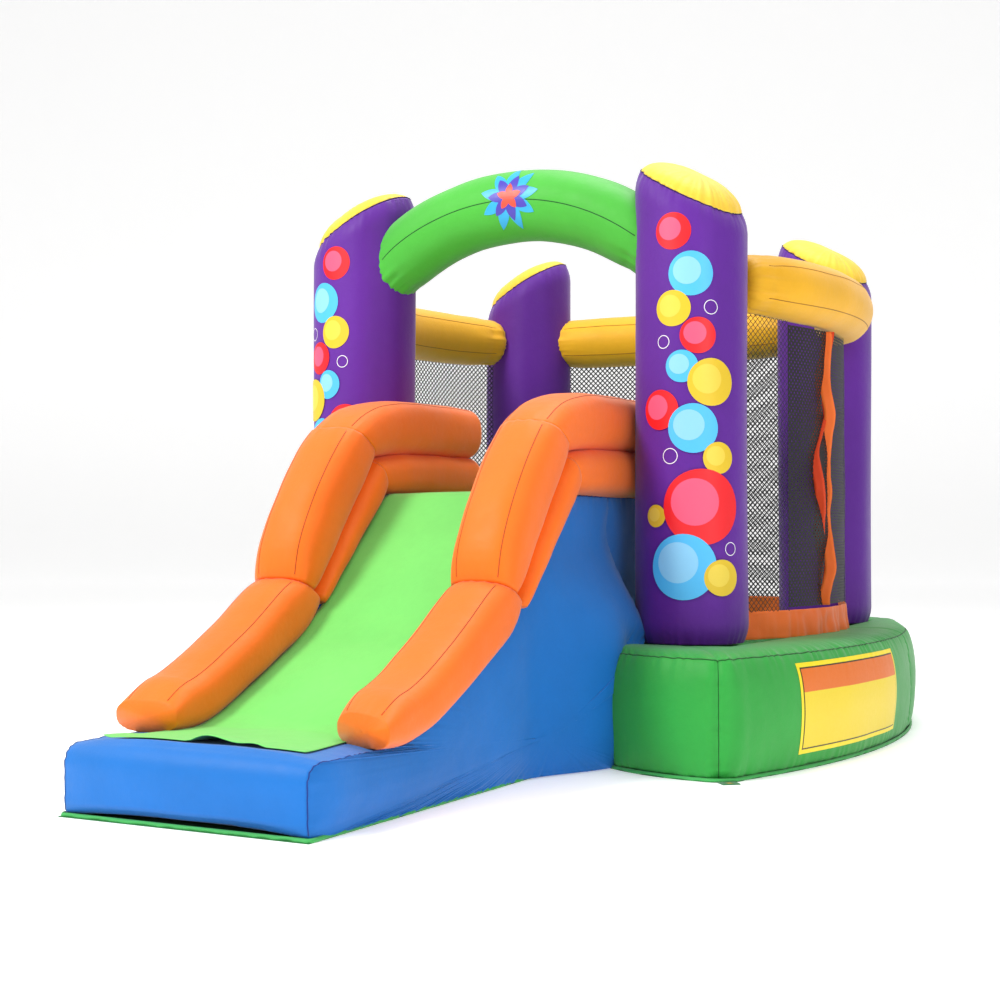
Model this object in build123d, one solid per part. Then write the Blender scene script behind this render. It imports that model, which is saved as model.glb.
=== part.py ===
from build123d import *
from math import asin, degrees, sqrt
import os

os.makedirs("parts", exist_ok=True)

# Frame: X across the slide, Y from the slide's foot to the back, Z up, origin under the middle of the box.
# Driving dimensions, in millimetres.

# Fabric
skin = 2.0  # wall of an inflated chamber
cloth = 2.0  # ground sheet, nets, skirts, slide sheet
seam_gap = 0.5  # between chambers that are sewn edge to edge

# Base
base_top = 415.0
half_front = 945.0  # half width at the front corner
half_middle = 1250.0  # half width where the sides bulge most
half_rear = 1000.0
half_rear_wall = 880.0  # half width of the rear wall, between its rounded corners
half_side_start = 1062.0  # half width where the side's arc starts, behind the front corner
notch_half = 450.0  # half width of the notch in the front that the slide stands in
front_y, corner_y, side_front_y = -460.0, -695.0, -600.0
middle_y = 500.0
side_rear_y, rear_corner_y, rear_y = 1700.0, 1850.0, 1890.0
floor_half, floor_front, floor_rear = 880.0, -300.0, 1560.0
channels = 7
channel_crown = 22.0

# Slide
foot_front = -2155.0
foot_half = 430.0
foot_top, slide_low = 205.0, -1660.0
slide_bend = (-1130.0, 462.0)
slide_high, platform_top = -630.0, 937.0
platform_rear, ramp_rear = 20.0, 120.0
wall_inner, wall_outer = 280.0, 492.0
flap_front = -1985.0

# Posts
post_r = 204.0
front_post = (702.0, -143.0)
rear_post = (738.0, 1384.0)
front_seam, rear_seam = 2045.0, 2004.0  # height of the slanted top at the post's centre
slant, lean = 26.0, 8.0  # how far the posts' tops fall outwards, and to the front
cap_crown = 70.0
cap_sphere = 443.0

# Beams and arch
beam_r, beam_z = 118.0, 1721.0
side_bulge = 1000.0
side_ends = (830.0, 0.0, 1240.0)  # x, front y and rear y of the beam's end centres
rear_bulge_y = 1475.0
arch_r, arch_bend, arch_crown = 135.0, 900.0, 2190.0
arch_y = -155.0

# Nets and door
skirt_top = 515.0
door_front, door_slit, door_rear = 240.0, 550.0, 860.0
hinge_gap = 3.0
binding = 30.0

# Label on the right side
label_x, label_y, label_z = (800.0, 1400.0), (-320.0, 500.0), (55.0, 376.0)

# Air inlet, at the rear left
inlet_x, inlet_z, inlet_r, inlet_end = -480.0, 65.0, 60.0, 2155.0
strap_wide, strap_from_end = 25.0, 95.0

# Deflation zip, at the rear right
zip_x, zip_z, zip_long, zip_tall = 480.0, 235.0, 300.0, 34.0
slider_from_end = 20.0
slider_back, slider_face, pull_pivot = 2.6, 7.6, 12.6  # how far each stands off the rear wall
pin_r, pin_hole_r = 1.0, 1.2

# Anchor tabs
tab_long, tab_wide, tab_thick = 75.0, 60.0, 3.0
grommet_r, grommet_outer = 8.0, 14.0


def save(node, shape):
    """One sub-part's STEP file."""
    shape.label = node
    export_step(shape, f"parts/{node}.step")


def chamber(make):
    """An inflated chamber: the outer solid with its air space, one skin smaller all round, taken out."""
    return make(0) - make(skin)


def both_sides(node, shape):
    """The right-hand piece as built and its mirror image on the left."""
    save(f"right_{node}", shape)
    save(f"left_{node}", mirror(shape, about=Plane.YZ))


def block(x, y, z):
    """A box from three (low, high) pairs."""
    size = [high - low for low, high in (x, y, z)]
    return Pos(x[0], y[0], z[0]) * Box(*size, align=Align.MIN)


def side_prism(outline, x, inset=0.0):
    """An outline in the YZ plane, pulled in by inset and drawn from x[0] to x[1]."""
    face = make_face(Polyline(*[(0, y, z) for y, z in outline], close=True))
    if inset:
        face = offset(face, -inset)
    return Pos(x[0] + inset, 0, 0) * extrude(face, x[1] - x[0] - 2 * inset, dir=(1, 0, 0))


# ---- base ----


def base_face(grow=0.0):
    """The base's plan outline: sides and rear bulge out, and the front leaves room for the slide."""
    points = [
        ((0, front_y), (notch_half, front_y)),
        ((notch_half, front_y), (690, -635), (half_front, corner_y)),
        ((half_front, corner_y), (1030, -672), (half_side_start, side_front_y)),
        ((half_side_start, side_front_y), (half_middle, middle_y), (half_rear, side_rear_y)),
        ((half_rear, side_rear_y), (962, 1800), (half_rear_wall, rear_corner_y)),
        ((half_rear_wall, rear_corner_y), (450, 1880), (0, rear_y)),
    ]
    half = [Line(*p) if len(p) == 2 else ThreePointArc(*p) for p in points]
    half += [mirror(edge, about=Plane.YZ) for edge in half]
    face = make_face(half)
    return offset(face, grow) if grow else face


def base_block(inset):
    solid = extrude(base_face(-inset), base_top - cloth - 2 * inset)
    solid = Pos(0, 0, cloth + inset) * solid
    hole = block(
        (-floor_half - inset, floor_half + inset),
        (floor_front - inset, floor_rear + inset),
        (0, base_top + 1),
    )
    return solid - hole


def inlet_bore():
    """The hole in the rear wall that the air comes in through."""
    return Pos(inlet_x, rear_corner_y, inlet_z) * Rot(-90, 0, 0) * Cylinder(inlet_r - skin, 200)


def floor_seams():
    """The Y places of the seams between the floor's channels, both ends among them."""
    gap = seam_gap
    pitch = (floor_rear - floor_front - 2 * gap) / channels
    return [floor_front + gap + i * pitch for i in range(channels + 1)]


def bounce_floor(inset):
    """A row of channels across the base, each with a crowned top."""
    seams = floor_seams()
    low, high = cloth, base_top - channel_crown
    outline = [Line((0, seams[0], low), (0, seams[-1], low))]
    outline += [Line((0, y, low), (0, y, high)) for y in (seams[0], seams[-1])]
    for near, far in zip(seams, seams[1:]):
        crown = (0, (near + far) / 2, base_top)
        outline.append(ThreePointArc((0, near, high), crown, (0, far, high)))
    face = make_face(outline)
    if inset:
        face = offset(face, -inset, kind=Kind.INTERSECTION)
    half = floor_half - seam_gap - inset
    return Pos(-half, 0, 0) * extrude(face, 2 * half, dir=(1, 0, 0))


def floor_baffles():
    """The fabric webs inside the floor that tie its top to its bottom along each seam."""
    margin = skin + 1
    web = Box(
        2 * (floor_half - margin - seam_gap),
        skin,
        base_top - channel_crown - cloth - 2 * margin,
        align=(Align.CENTER, Align.CENTER, Align.MIN),
    )
    return Compound([Pos(0, y, cloth + margin) * web for y in floor_seams()[1:-1]])


def rim_band(thick, x, y, z):
    """A piece of cloth that lies on the base's side wall, inside the given box."""
    shell = extrude(base_face(thick), base_top) - extrude(base_face(), base_top)
    return shell & block(x, y, z)


# ---- slide ----


def slide_chambers():
    """Four chambers in a row, from the foot to the platform between the posts."""
    low, bend_y, bend_z = cloth, *slide_bend
    gap = seam_gap
    steep = (platform_top - bend_z) / (slide_high - bend_y)
    flat = (bend_z - foot_top) / (bend_y - slide_low)
    outlines = {
        "landing_cushion": [
            (foot_front, low), (slide_low, low), (slide_low, foot_top), (foot_front, foot_top),
        ],
        "slide_lower_chamber": [
            (slide_low + gap, low), (bend_y, low), (bend_y, bend_z), (slide_low + gap, foot_top + flat * gap),
        ],
        "slide_upper_chamber": [
            (bend_y + gap, low), (front_y - gap, low), (front_y - gap, platform_top),
            (slide_high, platform_top), (bend_y + gap, bend_z + steep * gap),
        ],
        "slide_platform": [
            (front_y, base_top + gap), (ramp_rear, base_top + gap),
            (platform_rear, platform_top), (front_y, platform_top),
        ],
    }
    width = (-foot_half, foot_half)
    for node, outline in outlines.items():
        save(node, chamber(lambda inset: side_prism(outline, width, inset)))


def slide_webs():
    """Upright fabric ties inside the upper chamber, which keep the sliding face flat."""
    low, high = cloth + skin + 1, slide_bend[1] - 20
    front, rear = slide_bend[0] + 10, front_y - 10
    return Compound([block((x - 1, x + 1), (front, rear), (low, high)) for x in (-140, 0, 140)])


def slide_sheet():
    """The smooth sheet that covers the platform and both slopes, between the walls."""
    top = [
        (platform_rear - 5, platform_top),
        (slide_high, platform_top),
        slide_bend,
        (slide_low, foot_top),
        (slide_low - 40 + hinge_gap / 2, foot_top),
    ]
    above = [(y - (2 if i in (1, 2) else 0), z + cloth) for i, (y, z) in enumerate(top)]
    half = wall_inner - 5
    return side_prism(top + above[::-1], (-half, half))


def slide_flap():
    """The sheet's loose end, which lies on the landing cushion."""
    half = wall_inner - 5
    rear = slide_low - 40 - hinge_gap / 2
    return block((-half, half), (flap_front, rear), (foot_top + 0.4, foot_top + 0.4 + cloth))


def wall_outlines():
    """Side views of one slide wall's five chambers: two stacked rails, their slopes, and the bolster."""
    rail_end = 40.0
    mitre_top, mitre_mid = (-862.0, 1180.0), (-690.0, 1075.0)
    pinch_top, pinch_mid, pinch_low = (-1185.0, 655.0), (-1075.0, 600.0), (-1031.0, 557.5)
    lift = seam_gap
    return {
        "wall_upper_rail": [(rail_end, 1300), (-560, 1292), (-740, 1248), mitre_top, mitre_mid, (rail_end, 1100)],
        "wall_upper_slope": [mitre_top, (-1150, 800), pinch_top, pinch_mid, mitre_mid],
        "wall_lower_rail": [
            (rail_end, 1100), mitre_mid, (slide_high, platform_top + lift), (rail_end, platform_top + lift),
        ],
        "wall_lower_slope": [mitre_mid, pinch_mid, pinch_low, (slide_high, platform_top + lift)],
        "wall_bolster": [
            pinch_top, (-1500, 455), (-1766, 325), (-1850, foot_top + 40), (-1850, foot_top + lift),
            (slide_low, foot_top + lift), (slide_bend[0], slide_bend[1] + lift), pinch_low, pinch_mid,
        ],
    }


def slide_walls():
    width = (wall_inner, wall_outer)
    for node, outline in wall_outlines().items():
        half_gap = seam_gap / 2
        both_sides(node, chamber(lambda inset: side_prism(outline, width, inset + half_gap)))


# ---- posts, caps, beams and arch ----


def column(centre, radius, low, high):
    return Pos(*centre, low) * Cylinder(radius, high - low, align=(Align.CENTER, Align.CENTER, Align.MIN))


def slanted(centre, height, lift=0.0):
    """The half space above a post's slanted top, which falls outwards and a little to the front."""
    tilt = Pos(*centre, height) * Rot(lean, slant, 0)
    return tilt * Pos(0, 0, lift) * Box(2000, 2000, 1500, align=(Align.CENTER, Align.CENTER, Align.MIN))


def post(centre, height, inset):
    tall = column(centre, post_r - inset, base_top + seam_gap + inset, 2600)
    return tall - slanted(centre, height, -inset)


def cap(centre, height, inset):
    """The crowned cap on a post's slanted top."""
    tall = column(centre, post_r - inset, base_top, 2600) & slanted(centre, height, seam_gap + inset)
    ball = Pos(*centre, height) * Rot(lean, slant, 0) * Pos(0, 0, cap_crown - cap_sphere)
    return tall & (ball * Sphere(cap_sphere - inset))


def posts_grown(grow):
    """All four posts as plain columns, to trim what meets them."""
    both = [(side * x, y) for x, y in (front_post, rear_post) for side in (1, -1)]
    return [column(centre, post_r + grow, 300, 2600) for centre in both]


def trimmed(solid, grow=seam_gap):
    for one in posts_grown(grow):
        solid = solid - one
    return solid.solids().sort_by(SortBy.VOLUME)[-1]


def side_circle():
    """Centre x, centre y and radius of the side beam's arc in plan."""
    x, front, rear = side_ends
    half, rise = (rear - front) / 2, side_bulge - x
    radius = (half**2 + rise**2) / (2 * rise)
    return side_bulge - radius, (front + rear) / 2, radius


def side_beam(inset):
    x, front, rear = side_ends
    path = ThreePointArc((x, front, beam_z), (side_bulge, (front + rear) / 2, beam_z), (x, rear, beam_z))
    tube = sweep(Plane(path @ 0, z_dir=path % 0) * Circle(beam_r - inset), path)
    return trimmed(tube, seam_gap + inset)


def rear_beam(inset):
    x, y = rear_post
    path = ThreePointArc((-x, y, beam_z), (0, rear_bulge_y, beam_z), (x, y, beam_z))
    tube = sweep(Plane(path @ 0, z_dir=path % 0) * Circle(beam_r - inset), path)
    return trimmed(tube, seam_gap + inset)


def arch_tube(grow):
    """The front arch's tube, before the posts trim its ends."""
    centre_z = arch_crown - arch_r - arch_bend
    x = front_post[0]
    z = centre_z + sqrt(arch_bend**2 - x**2)
    path = ThreePointArc((-x, arch_y, z), (0, arch_y, centre_z + arch_bend), (x, arch_y, z))
    return sweep(Plane(path @ 0, z_dir=path % 0) * Circle(arch_r + grow), path)


def arch(inset):
    return trimmed(arch_tube(-inset), seam_gap + inset)


def arch_badge():
    """A plain star-shaped patch on the arch's front."""
    points, outer, inner = 9, 105.0, 62.0
    corners = [
        (outer if i % 2 == 0 else inner, 360 * i / (2 * points) + 8) for i in range(2 * points)
    ]
    centre_z = arch_crown - arch_r
    outline = [Vector(r, 0).rotate(Axis.Z, angle) for r, angle in corners]
    star = make_face(Polyline(*[(v.X, 0, v.Y) for v in outline], close=True))
    prism = Pos(0, arch_y, centre_z + 8) * extrude(star, 400, dir=(0, -1, 0))
    return prism & (arch_tube(1.5) - arch_tube(0.0))


# ---- nets, skirts and the door ----


def side_band(y, z, low=-cloth / 2, high=cloth / 2):
    """A strip of cloth that hangs along the side beam's arc, trimmed to the posts."""
    x0, y0, radius = side_circle()
    ring = column((x0, y0), radius + high, *z) - column((x0, y0), radius + low, *z)
    strip = ring & block((500, 1300), y, (0, 2600))
    for one in posts_grown(seam_gap):
        strip = strip - one
    return max(strip.solids(), key=lambda s: s.volume)


def rear_band(z):
    """A strip of cloth along the rear beam's arc."""
    x, y = rear_post
    rise = rear_bulge_y - y
    radius = (x**2 + rise**2) / (2 * rise)
    centre = (0, rear_bulge_y - radius)
    ring = column(centre, radius + cloth / 2, *z) - column(centre, radius - cloth / 2, *z)
    strip = ring & block((-x, x), (y - 100, y + 200), (0, 2600))
    for one in posts_grown(seam_gap):
        strip = strip - one
    return max(strip.solids(), key=lambda s: s.volume)


def nets():
    net_z = (skirt_top + 1, beam_z - beam_r - 0.5)
    skirt_z = (base_top + 1, skirt_top)
    flap_z = (skirt_top + 10, net_z[1] - 13)
    everywhere, gap = (-500.0, 1700.0), hinge_gap / 2
    both_sides("skirt", side_band(everywhere, skirt_z))
    save("rear_skirt", rear_band(skirt_z))
    save("rear_net", rear_band(net_z))
    save("left_net", mirror(side_band(everywhere, net_z), about=Plane.YZ))
    save("right_net", side_band((-500.0, door_front - gap), net_z))
    save("right_rear_net", side_band((door_rear + gap, 1700.0), net_z))
    save("door_flap", side_band((door_front + gap, door_slit - 2), flap_z))
    save("door_flap_binding", side_band((door_slit - 2 - binding, door_slit - 2), flap_z, 1.1, 3.5))
    save("inner_door_flap", side_band((door_slit + 2, door_rear - gap), flap_z))
    save("inner_flap_binding", side_band((door_slit + 2, door_slit + 2 + binding), flap_z, -3.5, -1.1))


# ---- fittings ----


def air_inlet():
    """The sleeve that a blower blows into, with its tie strap and buckle."""
    along = Rot(-90, 0, 0)
    up = (Align.CENTER, Align.CENTER, Align.MIN)

    def ring(start_y, outer, inner, long):
        at = Pos(inlet_x, start_y, inlet_z) * along
        return at * (Cylinder(outer, long, align=up) - Cylinder(inner, long, align=up))

    wall = extrude(base_face(seam_gap), base_top)
    tube = ring(rear_corner_y, inlet_r, inlet_r - skin, inlet_end - rear_corner_y)
    save("air_inlet_sleeve", tube - wall)
    strap_start = inlet_end - strap_from_end
    save("inlet_strap", ring(strap_start, inlet_r + cloth, inlet_r, strap_wide))
    on_strap = Pos(inlet_x, strap_start + strap_wide / 2, inlet_z + inlet_r + cloth)
    frame = Box(42, 34, 6, align=up)
    for side in (-8, 8):
        frame -= Pos(side, 0, 0) * Box(10, 26, 6, align=up)
    save("inlet_buckle", on_strap * frame)


def rear_wall_y(x):
    """Where the base's rear wall is, at a given x."""
    rise = rear_y - rear_corner_y
    radius = (half_rear_wall**2 + rise**2) / (2 * rise)
    return rear_y - radius + sqrt(radius**2 - x**2), degrees(asin(x / radius))


def deflation_zip():
    """The vent's zip: its tape, its slider at one end, and the pull tab hanging from the slider."""
    half = zip_long / 2
    tall = (zip_z - zip_tall / 2, zip_z + zip_tall / 2)
    save("zip_tape", rim_band(1.5, (zip_x - half, zip_x + half), (1700, 1950), tall))
    y, angle = rear_wall_y(zip_x)
    at = Pos(zip_x, y, zip_z) * Rot(0, 0, -angle)
    slider_x = half - slider_from_end
    standing = (Align.CENTER, Align.MIN, Align.CENTER)
    pivot = Pos(slider_x, pull_pivot, 0)
    along_pin = Rot(0, 90, 0)
    slider = Pos(slider_x, slider_back, 0) * Box(11, slider_face - slider_back, 16, align=standing)
    lug = Pos(slider_x, slider_face, 0) * Box(6, pull_pivot - slider_face + 2.5, 5, align=standing)
    save("zip_slider", at * (slider + lug - pivot * along_pin * Cylinder(pin_hole_r, 20)))
    tab = Pos(0, 0, -16) * Box(12, 1.8, 40)
    slot = Box(7, 10, 8)
    pin = along_pin * Cylinder(pin_r, 9)
    save("zip_pull_tab", at * pivot * (tab - slot + pin))


def anchor_tabs():
    """A webbing tab on the ground at each corner of the base, with a metal grommet for a stake."""
    places = [(1010.0, -655.0, -50.0), (945.0, 1783.0, 45.0)]
    tabs, grommets = [], []
    wall = extrude(base_face(), base_top)
    out = (Align.MIN, Align.CENTER, Align.MIN)
    up = (Align.CENTER, Align.CENTER, Align.MIN)
    for x, y, angle in places:
        at = Pos(x, y, 0) * Rot(0, 0, angle)
        hole = Pos(tab_long - 20, 0, 0) * Cylinder(grommet_outer, tab_thick, align=up)
        tabs.append(at * (Box(tab_long, tab_wide, tab_thick, align=out) - hole) - wall)
        ring = Cylinder(grommet_outer, tab_thick, align=up) - Cylinder(grommet_r, tab_thick, align=up)
        grommets.append(at * Pos(tab_long - 20, 0, 0) * ring)
    for node, pieces in (("anchor_tabs", tabs), ("anchor_grommets", grommets)):
        pieces = pieces + [mirror(p, about=Plane.YZ) for p in pieces]
        save(node, Compound([s for p in pieces for s in p.solids()]))


# ---- the whole bounce house ----

save("base_cushion", chamber(base_block) - inlet_bore())
save("bounce_floor", chamber(bounce_floor))
save("floor_baffles", floor_baffles())
save("ground_sheet", extrude(base_face(), cloth))
save("slide_ground_sheet", block((-foot_half, foot_half), (foot_front, front_y - seam_gap), (0, cloth)))
save("side_label", rim_band(1.0, label_x, label_y, label_z))

slide_chambers()
save("slide_webs", slide_webs())
save("slide_sheet", slide_sheet())
save("slide_sheet_flap", slide_flap())
slide_walls()

both_sides("front_post", chamber(lambda inset: post(front_post, front_seam, inset)))
both_sides("rear_post", chamber(lambda inset: post(rear_post, rear_seam, inset)))
both_sides("front_cap", chamber(lambda inset: cap(front_post, front_seam, inset)))
both_sides("rear_cap", chamber(lambda inset: cap(rear_post, rear_seam, inset)))
both_sides("beam", chamber(side_beam))
save("rear_beam", chamber(rear_beam))
save("front_arch", chamber(arch))
save("arch_badge", arch_badge())

nets()
air_inlet()
deflation_zip()
anchor_tabs()
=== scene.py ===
from math import atan2, cos, pi, radians, sin, sqrt, tan

import bmesh
import bpy
import numpy as np
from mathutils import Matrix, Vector, noise
from mathutils.bvhtree import BVHTree


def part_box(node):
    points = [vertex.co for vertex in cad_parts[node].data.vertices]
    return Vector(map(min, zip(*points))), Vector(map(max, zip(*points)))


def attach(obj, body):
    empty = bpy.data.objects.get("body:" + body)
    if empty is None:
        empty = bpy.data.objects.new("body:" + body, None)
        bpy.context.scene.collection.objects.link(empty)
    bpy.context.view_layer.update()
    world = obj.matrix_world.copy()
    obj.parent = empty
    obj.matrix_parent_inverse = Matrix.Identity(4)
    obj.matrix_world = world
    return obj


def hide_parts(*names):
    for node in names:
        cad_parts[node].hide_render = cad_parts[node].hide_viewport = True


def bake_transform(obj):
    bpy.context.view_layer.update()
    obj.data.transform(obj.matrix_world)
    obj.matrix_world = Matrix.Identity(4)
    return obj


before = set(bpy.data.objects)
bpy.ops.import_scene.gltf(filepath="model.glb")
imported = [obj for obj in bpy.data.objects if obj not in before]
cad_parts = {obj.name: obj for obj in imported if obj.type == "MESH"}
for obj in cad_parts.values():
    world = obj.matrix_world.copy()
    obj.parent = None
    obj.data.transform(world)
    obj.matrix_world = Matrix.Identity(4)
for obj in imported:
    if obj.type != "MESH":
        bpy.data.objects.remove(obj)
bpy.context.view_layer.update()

# Metres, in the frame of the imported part: X across the slide, Y from its foot to the back, Z up.

HOUSE = "house"
RIGHT, LEFT = 1, -1
UP = np.array([0.0, 0.0, 1.0])

# Camera
CAMERA_AT = (2.823, -5.588, 0.804)
CAMERA_YAW, CAMERA_PITCH = radians(28.1), radians(1.18)
CAMERA_LENS = 57.7

# Sewing
THREAD = 0.0018  # half width of a seam's thread line
SEAM_LIFT = 0.0004  # how far a thread line stands off its cloth
PUCKER = 0.034  # distance between one pucker and the next
MESH_STEP = 0.012  # distance between rows of a chamber's mesh

# Posts
SLANT, LEAN = radians(26), radians(8)  # how far their tops fall outwards, and to the front
CAP_CROWN = 0.068
SHOULDER = 0.024


# ---- numbers ----


def linear(red, green, blue):
    """A screen colour from 0 to 255 as linear light."""
    parts = [value / 255 for value in (red, green, blue)]
    return [v / 12.92 if v <= 0.04045 else ((v + 0.055) / 1.055) ** 2.4 for v in parts] + [1.0]


def ripple(along, pitch, seed=0.0):
    """An uneven row of puckers, from -1 to 1."""
    phase = 2 * pi * along / pitch
    drift = 1.6 * np.sin(phase / 3.1 + seed) + 0.9 * np.sin(phase / 7.3 + 2.1 * seed)
    height = 0.68 + 0.32 * np.sin(phase / 5.3 + 1.3 * seed)
    return np.cos(phase + drift) * height


def near(distance, reach):
    """1 at a seam, fading to 0 further than reach from it."""
    return np.exp(-((np.asarray(distance) / reach) ** 2))


def step_up(value, start, end):
    """0 before start, 1 after end, smooth between."""
    share = np.clip((value - start) / (end - start), 0, 1)
    return share * share * (3 - 2 * share)


def spaced(start, end, step, least=3):
    return np.linspace(start, end, max(least, int(abs(end - start) / step) + 1))


def eased(count):
    """From 0 to 1, with closer steps near both ends."""
    t = np.linspace(0, 1, count)
    return 0.55 * t + 0.45 * (0.5 - 0.5 * np.cos(pi * t))


def resampled(points, step, closed=False):
    """A polyline's points at an even distance from each other."""
    points = np.array(points, float)
    if closed:
        points = np.vstack([points, points[:1]])
    length = np.r_[0, np.cumsum(np.linalg.norm(np.diff(points, axis=0), axis=1))]
    where = spaced(0, length[-1], step)
    made = np.stack([np.interp(where, length, points[:, k]) for k in range(points.shape[1])], 1)
    return made[:-1] if closed else made


def smooth_line(points, step, order=3):
    """A smooth curve near the points, through both ends, as evenly spaced points."""
    points = np.array(points, float)
    for _ in range(order):
        first, last = points[:1], points[-1:]
        low, high = points[:-1], points[1:]
        cut = np.empty((2 * len(low), points.shape[1]))
        cut[0::2], cut[1::2] = 0.75 * low + 0.25 * high, 0.25 * low + 0.75 * high
        points = np.vstack([first, cut[1:-1], last])
    return resampled(points, step)


def rounded(outline, radii, step):
    """A closed outline whose corners are rounded, each with its own radius, at even spacing."""
    outline = np.array(outline, float)
    made = []
    for i, corner in enumerate(outline):
        before, after = outline[i - 1], outline[(i + 1) % len(outline)]
        back = (before - corner) / np.linalg.norm(before - corner)
        on = (after - corner) / np.linalg.norm(after - corner)
        half = np.arccos(np.clip(back @ on, -1, 1)) / 2
        reach = radii[i] / tan(half)
        start, end = corner + back * reach, corner + on * reach
        for t in np.linspace(0, 1, 7):
            made.append((1 - t) ** 2 * start + 2 * t * (1 - t) * corner + t**2 * end)
    return resampled(made, step, closed=True)


# ---- meshes ----


def normals(grid):
    """The outward direction at each point of a grid of closed rings."""
    du = np.roll(grid, -1, 1) - np.roll(grid, 1, 1)
    dv = np.roll(grid, -1, 0) - np.roll(grid, 1, 0)
    dv[0], dv[-1] = grid[1] - grid[0], grid[-1] - grid[-2]
    n = np.cross(du, dv)
    n /= np.maximum(np.linalg.norm(n, axis=2, keepdims=True), 1e-9)
    outward = grid - grid.mean(axis=1, keepdims=True)
    return n if (n * outward).sum() > 0 else -n


def uneven(points, size, seed):
    """Soft noise from -1 to 1 at each point, with bumps about size metres wide."""
    flat = points.reshape(-1, 3) / size + seed * 7.7
    return np.array([noise.noise(Vector(p)) for p in flat]).reshape(points.shape[:-1])


def mesh_object(name, grid, material, around=True, along=False, fans=(False, False)):
    """A mesh of quads through a grid of points, with its UV map in metres of cloth."""
    grid = np.asarray(grid, float)
    rows, columns, _ = grid.shape
    step_u = np.linalg.norm(np.roll(grid, -1, 1) - grid, axis=2).mean(axis=0)
    step_v = np.linalg.norm(np.roll(grid, -1, 0) - grid, axis=2).mean(axis=1)
    u, v = np.r_[0, np.cumsum(step_u)], np.r_[0, np.cumsum(step_v)]
    r, c = np.meshgrid(
        np.arange(rows if along else rows - 1),
        np.arange(columns if around else columns - 1),
        indexing="ij",
    )
    corners = [(r, c), (r, c + 1), (r + 1, c + 1), (r + 1, c)]
    faces = np.stack([(i % rows) * columns + j % columns for i, j in corners], -1).reshape(-1, 4)
    uv = np.stack([np.stack([u[j], v[i]], -1) for i, j in corners], -2).reshape(-1, 2)
    points = grid.reshape(-1, 3).tolist()
    faces = faces.tolist()
    for row, wanted in zip((0, rows - 1), fans):
        if wanted:
            middle = len(points)
            points.append(grid[row].mean(axis=0).tolist())
            ring = [row * columns + k for k in range(columns)]
            faces += [[a, b, middle] for a, b in zip(ring, ring[1:] + ring[:1])]
            corner_uv = [[0, v[row]], [0.01, v[row]], [0.005, v[row] + 0.01]]
            uv = np.vstack([uv, np.tile(corner_uv, (columns, 1))])
    mesh = bpy.data.meshes.new(name)
    mesh.from_pydata(points, [], faces)
    mesh.uv_layers.new(name="UVMap").data.foreach_set("uv", uv.astype(np.float32).ravel())
    mesh.polygons.foreach_set("use_smooth", [True] * len(faces))
    work = bmesh.new()
    work.from_mesh(mesh)
    bmesh.ops.recalc_face_normals(work, faces=work.faces)
    work.to_mesh(mesh)
    work.free()
    made = bpy.data.objects.new(name, mesh)
    bpy.context.scene.collection.objects.link(made)
    made.data.materials.append(material)
    return made


def placed(made, nodes=(), body=HOUSE):
    """The piece rides on its body and stands for the nodes."""
    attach(made, body)
    if nodes:
        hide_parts(*nodes)
    return made


def chamber(name, grid, material, nodes, fans=(True, True), along=False):
    """An inflated piece."""
    made = placed(mesh_object(name, grid, material, True, along, fans), nodes)
    return made


def thread(name, points, out, material, closed=False, width=THREAD, lift=0.0):
    """A seam's raised thread line: a thin flat ribbon along the points, standing out from the cloth."""
    points, out = np.asarray(points, float), np.asarray(out, float)
    ahead = np.roll(points, -1, 0) - np.roll(points, 1, 0)
    if not closed:
        ahead[0], ahead[-1] = points[1] - points[0], points[-1] - points[-2]
    ahead /= np.maximum(np.linalg.norm(ahead, axis=1, keepdims=True), 1e-9)
    beside = np.cross(ahead, out)
    angles = np.linspace(0, 2 * pi, 7)[:-1]
    rings = [points + beside * width * cos(a) + out * (THREAD / 2 * sin(a) + lift) for a in angles]
    grid = np.stack(rings, 1)
    made = mesh_object(name, grid, material, True, closed, (not closed, not closed))
    return placed(made)


def lengthways_seams(name, grid, out, columns, margin, material, width=THREAD):
    """Thread lines along a tube's grid at some of its columns, stopping a margin of rows from its ends."""
    for k in columns:
        facing = out[margin:-margin, k]
        line = grid[margin:-margin, k] + facing * SEAM_LIFT
        thread(f"{name}_seam_{k}", line, facing, material, width=width)


def thicker(made, thickness):
    """Cloth gets its thickness, half on each side."""
    solid = made.modifiers.new("thickness", "SOLIDIFY")
    solid.thickness = thickness
    solid.offset = 0
    return made


def surface_of(*made):
    """A tree to cast rays at the pieces."""
    bpy.context.view_layer.update()
    depsgraph = bpy.context.evaluated_depsgraph_get()
    trees = []
    for one in made:
        work = bmesh.new()
        work.from_object(one, depsgraph)
        work.transform(one.matrix_world)
        trees.append(BVHTree.FromBMesh(work))
        work.free()
    return trees


def laid_on(tree, starts, directions, lift):
    """Where rays from the starts meet the surface, lifted off it."""
    made = []
    for start, direction in zip(starts, directions):
        place, normal, _, _ = tree.ray_cast(Vector(start), Vector(direction))
        if place is None:
            made.append(np.array(start))
            continue
        if normal.dot(Vector(direction)) > 0:
            normal.negate()
        made.append(np.array(place + normal * lift))
    return np.array(made)


# ---- materials ----


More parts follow.
